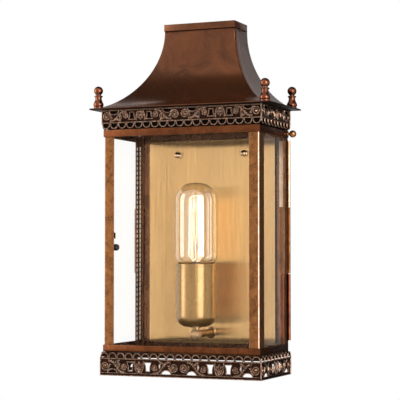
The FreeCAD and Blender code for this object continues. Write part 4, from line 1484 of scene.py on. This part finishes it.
@dataclass
class Cage(Assembly):
    """The swinging cage: posts, stiles, rails, panes and the tabs that hold the left pane."""

    sheet: float = 1.0
    fold: float = 1.5
    fold_steps: int = 5
    rail_edge: float = 0.8
    pane_edge: float = 0.3
    pane_crease: float = 20.0
    tab_pitch: float = 5.9
    tab_tall: float = 3.7
    tab_wide: float = 1.2
    tab_thick: float = 0.5
    tab_edge: float = 0.15
    tab_margin: float = 9.0
    tab_from_rear: float = 12.0
    seal_from_rear: float = 3.6
    seal_wide: float = 3.0
    seal_tall: float = 4.9

    def build(self) -> None:
        """Makes the cage's pieces."""
        for side in ("left", "right"):
            self._upright(f"front_post_{side}", -1.0)
            self._upright(f"rear_stile_{side}", 1.0)
        self._tabs()
        for level in ("top", "bottom"):
            for side in Side:
                node = f"{level}_rail_{side.word}"
                # Painted shade and highlight: the rails take a darker copy of the cage copper, and their
                # faces towards the near corner a painted highlight.
                piece = self.shop.block(node, Body.CAGE, self.rail_edge, finish="rail_shaded_copper")
                self.shop.polish(piece, NEAR_CORNER)
        for side in Side:
            self.shop.block(f"{side.word}_glass", Body.CAGE, self.pane_edge, 1, crease=self.pane_crease)

    def _upright(self, node: str, rear: float) -> None:
        """Makes a folded angle with a rounded outer corner.

        Args:
            node: The CAD node that it stands for.
            rear: 1 for an angle whose corner is at the rear, -1 at the front.
        """
        low, high = node_box(node)
        hand = 1.0 if low.x > 0 else -1.0
        wide, deep = high.x - low.x, high.y - low.y
        corner_x = high.x if hand > 0 else low.x
        corner_y = high.y if rear > 0 else low.y
        outer = arc((-self.fold, -self.fold), self.fold, 0.0, 90.0, self.fold_steps)
        inner = arc((-self.fold, -self.fold), self.fold - self.sheet, 90.0, 0.0, self.fold_steps)
        section = [(0.0, -deep), *outer, (-wide, 0.0), (-wide, -self.sheet), *inner, (-self.sheet, -deep)]
        form = Form()
        form.bar([(corner_x + hand * x, corner_y + rear * y) for x, y in section], low.z, high.z)
        piece = self.shop.piece(form, Body.CAGE, [node])
        # Painted highlight on the right front post's rounded corner only.
        if node == "front_post_right":
            self.shop.polish(piece, NEAR_CORNER)

    def _tabs(self) -> None:
        """Makes two rows of pale dashes at the left pane's rear edge: the tabs that hold it, and a row nearer
        the rear.
        """
        low, high = node_box("rear_stile_left")
        near = node_box("left_glass")[1].x
        count = int((high.z - low.z - 2 * self.tab_margin) / self.tab_pitch)
        tabs = (high.y - self.tab_from_rear, self.tab_wide, self.tab_tall)
        edge_row = (high.y - self.seal_from_rear, self.seal_wide, self.seal_tall)
        form = Form()
        for middle, wide, tall in (tabs, edge_row):
            for i in range(count):
                foot = low.z + self.tab_margin + i * self.tab_pitch
                start = Vector((near, middle - wide / 2, foot))
                form.slab(start, start + Vector((self.tab_thick, wide, tall)), self.tab_edge, 1)
        self.shop.piece(form, Body.CAGE, [], name="glazing_tabs", slot="hinge_brass", finish="pale_dash_white")


@dataclass
class Fittings(Assembly):
    """Small fittings: clips, domed screws, hinge, closing lips and the pull."""

    eased: float = 0.2
    screw_eased: float = 0.05
    eased_nodes: tuple[str, ...] = (
        "glass_clips", "pull_plate", "hinge_pin", "hinge_knuckle_top", "hinge_knuckle_bottom", "cage_knuckle",
        "lip_top", "lip_bottom", "cage_lip")
    knob_shank: float = 1.7
    knob_foot: float = 0.8
    knob_ring: float = 0.7
    knob_ring_level: float = 0.9
    knob_ring_sweep: float = 70.0
    knob_ring_steps: int = 6
    knob_ball_steps: int = 16
    knob_steps: int = 40

    def build(self) -> None:
        """Makes the fittings."""
        for node in self.eased_nodes:
            self.shop.dress(node, self.eased)
        self.shop.dress("clip_screws", self.screw_eased)
        self._knob()

    def _knob(self) -> None:
        """Makes the turned ball knob of the pull."""
        low, high = node_box("pull_knob")
        ball = (high.z - low.z) / 2
        length = high.x - low.x
        reach = math.degrees(math.acos(self.knob_shank / ball))
        crown = arc((0.0, length - ball), ball, -reach, 90.0, self.knob_ball_steps)
        ring = arc((self.knob_shank, self.knob_ring_level), self.knob_ring, -self.knob_ring_sweep,
                   self.knob_ring_sweep, self.knob_ring_steps)
        foot = self.knob_shank + self.knob_foot
        profile = [(0.0, 0.0), (foot, 0.0), *ring, *crown[:-1], (0.0, length)]
        place = facing(Vector((low.x, (low.y + high.y) / 2, (low.z + high.z) / 2)), ACROSS)
        self.shop.turned("pull_knob", Body.CAGE, (profile, place, self.knob_steps), finish="knob_brass")


@dataclass
class Lamp(Assembly):
    """The lamp: arm, holder cover, bulb and filament."""

    cover_round: float = 13.0
    cover_sheet: float = 0.8
    cover_bead: float = 0.55
    cover_hole: float = 4.1
    cover_inner_rim: float = 1.5
    cover_steps: int = 12
    bead_steps: int = 8
    groove_deep: float = 0.35
    groove_levels: tuple[float, ...] = (3.2, 3.0, 2.6, 2.4)
    glass_wall: float = 0.7
    glass_neck: float = 12.6
    glass_neck_tall: float = 15.0
    glass_neck_ease: float = 2.0
    glass_shoulder: float = 12.4
    glass_shoulder_sweep: float = 70.0
    glass_crown: float = 20.5
    crown_steps: int = 20
    shoulder_steps: int = 12
    stem_foot: float = 3.0
    stem_neck: Flat = (3.2, 30.0)
    stem_hollow: tuple[Flat, Flat] = ((0.0, 6.0), (3.4, 16.0))
    stem_pinch: Flat = (3.0, 36.0)
    stem_rod: Flat = (1.3, 39.0)
    stem_tip: float = 1.2
    stem_tip_drop: float = 2.0
    stem_bead: float = 1.6
    stem_bead_sweep: float = 80.0
    stem_bead_steps: int = 5
    stem_flare_steps: int = 10
    stem_steps: int = 24
    cage_wires: int = 10
    cage_low: float = 28.0
    cage_tall: float = 65.8
    cage_low_r: float = 8.8
    cage_top_r: float = 8.0
    hub_drop: float = 0.6
    foot_arm: tuple[Flat, Flat] = ((3.2, 8.5), (4.6, 6.6))
    head_arm: tuple[Flat, Flat] = ((1.2, 0.0), (5.2, 1.0))
    wire: float = 0.3
    arm_wire: float = 0.24
    steps: int = 72
    arm_bore: float = 3.0
    arm_steps: int = 40
    flange_gap: float = 0.05
    flange_rim: float = 0.6
    flange_poles: tuple[Flat, Flat, Flat] = ((-0.4, 0.9), (-0.9, 1.1), (1.1, 1.4))
    flange_collar: float = 0.8
    flange_curve_steps: int = 6
    ball_band: float = 0.8
    ball_groove: float = 0.25
    ball_rows: int = 24
    ball_steps: int = 48
    eased: float = 0.2

    def build(self) -> None:
        """Makes the lamp's pieces."""
        low, high = node_box("holder_cover")
        self.x, self.y = (low.x + high.x) / 2, (low.y + high.y) / 2
        self.axis = upright(self.x, self.y, 0.0)
        self._cover(low, high)
        self._glass()
        self._stem()
        self._filament()
        self._arm()
        for node in ("holder_insert", "bulb_cap", "holder_nipple"):
            self.shop.dress(node, self.eased)

    def _cover(self, low: Vector, high: Vector) -> None:
        """Makes the brass cup with a beaded rim.

        Args:
            low: The cup's lowest corner.
            high: Its highest corner.
        """
        radius = (high.x - low.x) / 2
        foot, rim = low.z, high.z
        turn = (radius - self.cover_round, foot + self.cover_round)
        bend = arc(turn, self.cover_round, -90.0, 0.0, self.cover_steps)
        inside = arc(turn, self.cover_round - self.cover_sheet, 0.0, -90.0, self.cover_steps)
        bead = arc((radius - self.cover_bead, rim - self.cover_bead), self.cover_bead, 0.0, 180.0,
                   self.bead_steps)
        depths = (0.0, self.groove_deep, self.groove_deep, 0.0)
        groove = [(radius - deep, rim - drop) for deep, drop in zip(depths, self.groove_levels)]
        inner_rim = (radius - self.cover_sheet, rim - self.cover_inner_rim)
        profile = [(self.cover_hole, foot), *bend, *groove, *bead, inner_rim, *inside,
                   (self.cover_hole, foot + self.cover_sheet)]
        self.shop.turned("holder_cover", Body.LANTERN, (profile, self.axis, self.steps), ring=True)

    def _skin(self, inset: float) -> list[Flat]:
        """The bulb's half section from its crown down to its neck.

        Args:
            inset: How far inside the glass's outer face.

        Returns:
            Points as radius and height.
        """
        low, high = node_box("bulb_glass")
        radius = (high.x - low.x) / 2
        neck_top = low.z + self.glass_neck_tall
        top = (radius - self.glass_crown, high.z - self.glass_crown)
        crown = arc(top, self.glass_crown - inset, 90.0, 0.0, self.crown_steps)
        bottom = (radius - self.glass_shoulder, neck_top + self.glass_shoulder)
        shoulder = arc(bottom, self.glass_shoulder - inset, 0.0, -self.glass_shoulder_sweep,
                       self.shoulder_steps)
        neck = self.glass_neck - inset
        ends = [(neck, neck_top - self.glass_neck_ease), (neck, low.z)]
        return [(0.0, high.z - inset), *crown, *shoulder, *ends]

    def _glass(self) -> None:
        """Makes the clear tube of the bulb."""
        profile = self._skin(0.0) + self._skin(self.glass_wall)[::-1]
        self.shop.turned("bulb_glass", Body.LANTERN, (profile, self.axis, self.steps), crease=SOFT_CREASE)

    def _stem(self) -> None:
        """Makes the glass stem that carries the filament."""
        low, high = node_box("bulb_stem")
        radius = (high.x - low.x) / 2
        (swell, swell_level), hollow = self.stem_hollow
        poles = [(radius + self.stem_foot, 0.0), (radius + swell, swell_level), hollow, self.stem_neck]
        flare = bezier([(r, low.z + level) for r, level in poles], self.stem_flare_steps)
        rod = [(r, low.z + level) for r, level in (self.stem_pinch, self.stem_rod)]
        rod.append((self.stem_tip, high.z - self.stem_tip_drop))
        rod += arc((0.0, high.z - self.stem_bead), self.stem_bead, 0.0, self.stem_bead_sweep,
                   self.stem_bead_steps)
        profile = [(0.0, low.z), *flare, *rod, (0.0, high.z)]
        self.shop.turned("bulb_stem", Body.LANTERN, (profile, self.axis, self.stem_steps))

    def _filament(self) -> None:
        """Makes the filament: a wire that runs up and down between two spiders."""
        base = node_box("bulb_glass")[0].z
        low, top = base + self.cage_low, base + self.cage_low + self.cage_tall
        hub = node_box("bulb_stem")[1].z - self.hub_drop

        def spot(turn: float, radius: float, level: float) -> Vector:
            """A point round the lamp's axis."""
            return Vector((self.x + radius * math.cos(turn), self.y + radius * math.sin(turn), level))

        step = 2 * math.pi / self.cage_wires
        feet = [spot(step * i, self.cage_low_r, low) for i in range(self.cage_wires)]
        heads = [spot(step * (i + 0.5), self.cage_top_r, top) for i in range(self.cage_wires)]
        run = [point for pair in zip(feet, heads) for point in pair]
        form = Form()
        for first, second in zip(run, run[1:] + run[:1]):
            form.tube([first, second], self.wire, ASKEW)
        for i in range(self.cage_wires):
            rising = [spot(step * i, r, low - drop) for r, drop in self.foot_arm]
            falling = [spot(step * (i + 0.5), r, hub - drop) for r, drop in self.head_arm]
            form.tube([*rising, feet[i]], self.arm_wire, UP)
            form.tube([*falling, heads[i]], self.arm_wire, UP)
        self.shop.piece(form, Body.LANTERN, ["bulb_filament"])

    def _arm(self) -> None:
        """Makes the arm, its rosette and its ball."""
        low, high = node_box("lamp_arm")
        radius = (high.x - low.x) / 2
        level = (low.z + high.z) / 2
        length = high.y - low.y
        tube = [(self.arm_bore, 0.0), (radius, 0.0), (radius, length), (self.arm_bore, length)]
        place = facing(Vector((self.x, low.y, level)), WALLWARD)
        self.shop.turned("lamp_arm", Body.LANTERN, (tube, place, self.arm_steps), ring=True)
        low, high = node_box("arm_flange")
        disc = (high.x - low.x) / 2
        thick = high.y - low.y
        bore = radius + self.flange_gap
        edge, bowl, collar = self.flange_poles
        poles = [(disc + edge[0], edge[1]), (disc + bowl[0], bowl[1]), (radius + collar[0], collar[1]),
                 (radius + self.flange_collar, thick)]
        hollow = bezier(poles, self.flange_curve_steps)
        rosette = [(bore, 0.0), (disc, 0.0), (disc, self.flange_rim), *hollow, (bore, thick)]
        place = facing(Vector((self.x, high.y, level)), -WALLWARD)
        self.shop.turned("arm_flange", Body.LANTERN, (rosette, place, self.ball_steps), ring=True)
        low, high = node_box("arm_ball")
        ball = (high.x - low.x) / 2
        skin = arc((0.0, 0.0), ball, -90.0, 90.0, self.ball_rows)
        band = [(r if abs(h) > self.ball_band else r - self.ball_groove, h) for r, h in skin[1:-1]]
        profile = [(0.0, -ball), *band, (0.0, ball)]
        place = facing(Vector((self.x, self.y, (low.z + high.z) / 2)), WALLWARD)
        # Painted light: the ball takes a lighter copy of the lamp brass.
        self.shop.turned("arm_ball", Body.LANTERN, (profile, place, self.ball_steps), finish="knurled_lit_brass")


@dataclass
class Backwork(Assembly):
    """The back plate, head frame, floor tray, reflector and its nuts."""

    sheet_edge: float = 0.2
    reflector_edge: float = 0.25
    nut_skirt: float = 2.0
    nut_chamfer: float = 0.4
    nut_chamfer_levels: Flat = (0.5, 0.2)
    nut_dome: float = 0.93
    nut_rows: int = 8
    nut_steps: int = 32

    def build(self) -> None:
        """Makes and dresses the pieces at the back."""
        for node in ("back_plate", "reflector_studs"):
            self.shop.dress(node, self.sheet_edge)
        # Painted shade: the floor tray takes the dark gallery finish, and the head frame the near-black
        # shadow finish.
        self.shop.dress("floor_tray", self.sheet_edge, "gallery_bronze")
        self.shop.dress("head_frame", self.sheet_edge, "shadow_bronze")
        self.shop.dress("reflector", self.reflector_edge)
        self._nuts()

    def _nuts(self) -> None:
        """Makes the two domed nuts of the reflector."""
        low, high = node_box("reflector_nuts")
        radius = (high.z - low.z) / 2
        level = (low.z + high.z) / 2
        below, above = (self.nut_skirt - drop for drop in self.nut_chamfer_levels)
        skirt = [(0.0, 0.0), (radius, 0.0), (radius, below), (radius - self.nut_chamfer, above)]
        crown = arc((0.0, self.nut_skirt), radius, 0.0, 90.0, self.nut_rows)[:-1]
        dome = [(r * self.nut_dome, h) for r, h in crown]
        profile = [*skirt, *dome, (0.0, self.nut_skirt + radius)]
        form = Form()
        for x in (low.x + radius, high.x - radius):
            form.lathe(profile, facing(Vector((x, high.y, level)), -WALLWARD), self.nut_steps)
        self.shop.piece(form, Body.LANTERN, ["reflector_nuts"], finish="hinge_brass")


def studio_grey(name: str, grey: float, rough: float) -> bpy.types.Material:
    """Makes a plain grey material for the studio.

    Args:
        name: The material's name.
        grey: How much light it gives back.
        rough: Its roughness.

    Returns:
        The material.
    """
    material, graph = new_material(name)
    inputs = {"Base Color": (grey, grey, grey, 1.0), "Roughness": rough}
    graph.show(graph.add("ShaderNodeBsdfPrincipled", inputs))
    return material


@dataclass(frozen=True)
class Card:
    """A card that only gloss shows, with its middle and its width and height in metres."""

    name: str
    place: Place
    aim: Place
    extent: Flat
    grey: float
    roughness: float = 0.9

    def build(self) -> None:
        """Hangs the card."""
        wide, tall = self.extent[0] / 2, self.extent[1] / 2
        mesh = bpy.data.meshes.new(self.name)
        corners = [(-wide, -tall, 0.0), (wide, -tall, 0.0), (wide, tall, 0.0), (-wide, tall, 0.0)]
        mesh.from_pydata(corners, [], [(0, 1, 2, 3)])
        mesh.materials.append(studio_grey(self.name, self.grey, self.roughness))
        card = bpy.data.objects.new(self.name.replace(" ", "_"), mesh)
        card.location = self.place
        card.rotation_euler = Vector(self.aim).to_track_quat("Z", "Y").to_euler()
        card.visible_camera = False
        card.visible_diffuse = False
        card.visible_shadow = False
        card.visible_transmission = False
        bpy.context.scene.collection.objects.link(card)


@dataclass(frozen=True)
class Softbox:
    """A soft light that faces the lantern, in metres and watts."""

    name: str
    place: Place
    extent: Flat
    power: float

    def build(self) -> None:
        """Hangs the light."""
        lamp = bpy.data.lights.new(self.name, "AREA")
        lamp.shape = "RECTANGLE"
        lamp.size, lamp.size_y = self.extent
        lamp.energy = self.power
        light = bpy.data.objects.new(self.name, lamp)
        light.location = self.place
        light.rotation_euler = (-Vector(self.place)).to_track_quat("-Z", "Y").to_euler()
        bpy.context.scene.collection.objects.link(light)


CARDS = (
    Card("ceiling card", (0.0, 0.1, 0.95), (0.0, 0.0, -1.0), (2.6, 0.8), 0.03),
    Card("rear card", (0.0, 1.3, 0.85), (0.0, -1.0, 0.0), (3.0, 1.1), 0.4),
    Card("right card", (0.75, 1.25, 0.0), (-0.5, -0.86, 0.0), (1.8, 2.4), 0.05),
)
SOFTBOXES = (
    Softbox("left softbox", (-1.34, -0.82, 0.25), (0.8, 1.5), 11.8),
    Softbox("right softbox", (1.27, -1.06, 0.25), (1.05, 1.5), 20.0),
)


@dataclass
class Studio:
    """The camera, the lights, the white surroundings and the floor."""

    camera_at: Place = (0.6563, -1.5840, -0.0185)
    yaw: float = 23.01
    pitch: float = 2.28
    lens: float = 128.35
    sensor: float = 36.0
    floor_level: float = -1.1
    floor_half: float = 2.4
    floor_grey: float = 0.86
    floor_roughness: float = 0.8
    ambient: float = 0.55

    def build(self) -> None:
        """Sets up the studio."""
        scene = bpy.context.scene
        scene.view_settings.view_transform = "Standard"
        self._camera(scene)
        self._world(scene)
        self._floor(scene)
        for fitting in (*CARDS, *SOFTBOXES):
            fitting.build()

    def _camera(self, scene: bpy.types.Scene) -> None:
        """Stands the camera where the photograph was taken from.

        Args:
            scene: The scene.
        """
        lens = bpy.data.cameras.new("camera")
        lens.lens = self.lens
        lens.sensor_width = self.sensor
        camera = bpy.data.objects.new("camera", lens)
        camera.location = self.camera_at
        camera.rotation_euler = (math.radians(90.0 + self.pitch), 0.0, math.radians(self.yaw))
        scene.collection.objects.link(camera)
        scene.camera = camera

    def _world(self, scene: bpy.types.Scene) -> None:
        """Makes the surroundings: white to the eye, in metal and through glass, and softer as a light.

        Args:
            scene: The scene.
        """
        world = bpy.data.worlds.new("white studio")
        world.use_nodes = True
        graph = Graph(world.node_tree)
        path = graph.add("ShaderNodeLightPath")
        seen = graph.math("MAXIMUM", path.outputs["Is Camera Ray"], path.outputs["Is Glossy Ray"])
        seen = graph.math("MAXIMUM", seen, path.outputs["Is Transmission Ray"])
        soft = graph.add("ShaderNodeBackground", {"Color": WHITE, "Strength": self.ambient})
        white = graph.add("ShaderNodeBackground", {"Color": WHITE, "Strength": 1.0})
        blend = graph.add("ShaderNodeMixShader", {0: seen, 1: soft.outputs[0], 2: white.outputs[0]})
        graph.show(blend, "ShaderNodeOutputWorld")
        scene.world = world

    def _floor(self, scene: bpy.types.Scene) -> None:
        """Lays the pale floor well below the lantern.

        Args:
            scene: The scene.
        """
        half, level = self.floor_half / MM, self.floor_level / MM
        form = Form()
        form.shell([[Vector((x, y, level)) for x in (-half, half)] for y in (-half, half)])
        mesh = form.mesh("floor")
        mesh.materials.append(studio_grey("pale floor", self.floor_grey, self.floor_roughness))
        floor = bpy.data.objects.new("floor", mesh)
        scene.collection.objects.link(floor)


def main() -> None:
    """Builds the lantern's sub-assemblies in order, then the studio."""
    logging.basicConfig(level=logging.INFO, format="%(name)s %(message)s")
    shop = Workshop()
    Backwork(shop).build()
    Roof(shop).build()
    Finial(shop).build()
    Gallery(shop, "lower_gallery", border=3.4, filigree=15.6, over=False).build()
    Gallery(shop, "upper_gallery", border=1.4, filigree=13.3, over=True).build()
    Cage(shop).build()
    Fittings(shop).build()
    Lamp(shop).build()
    Studio().build()


if __name__ == "__main__":
    main()
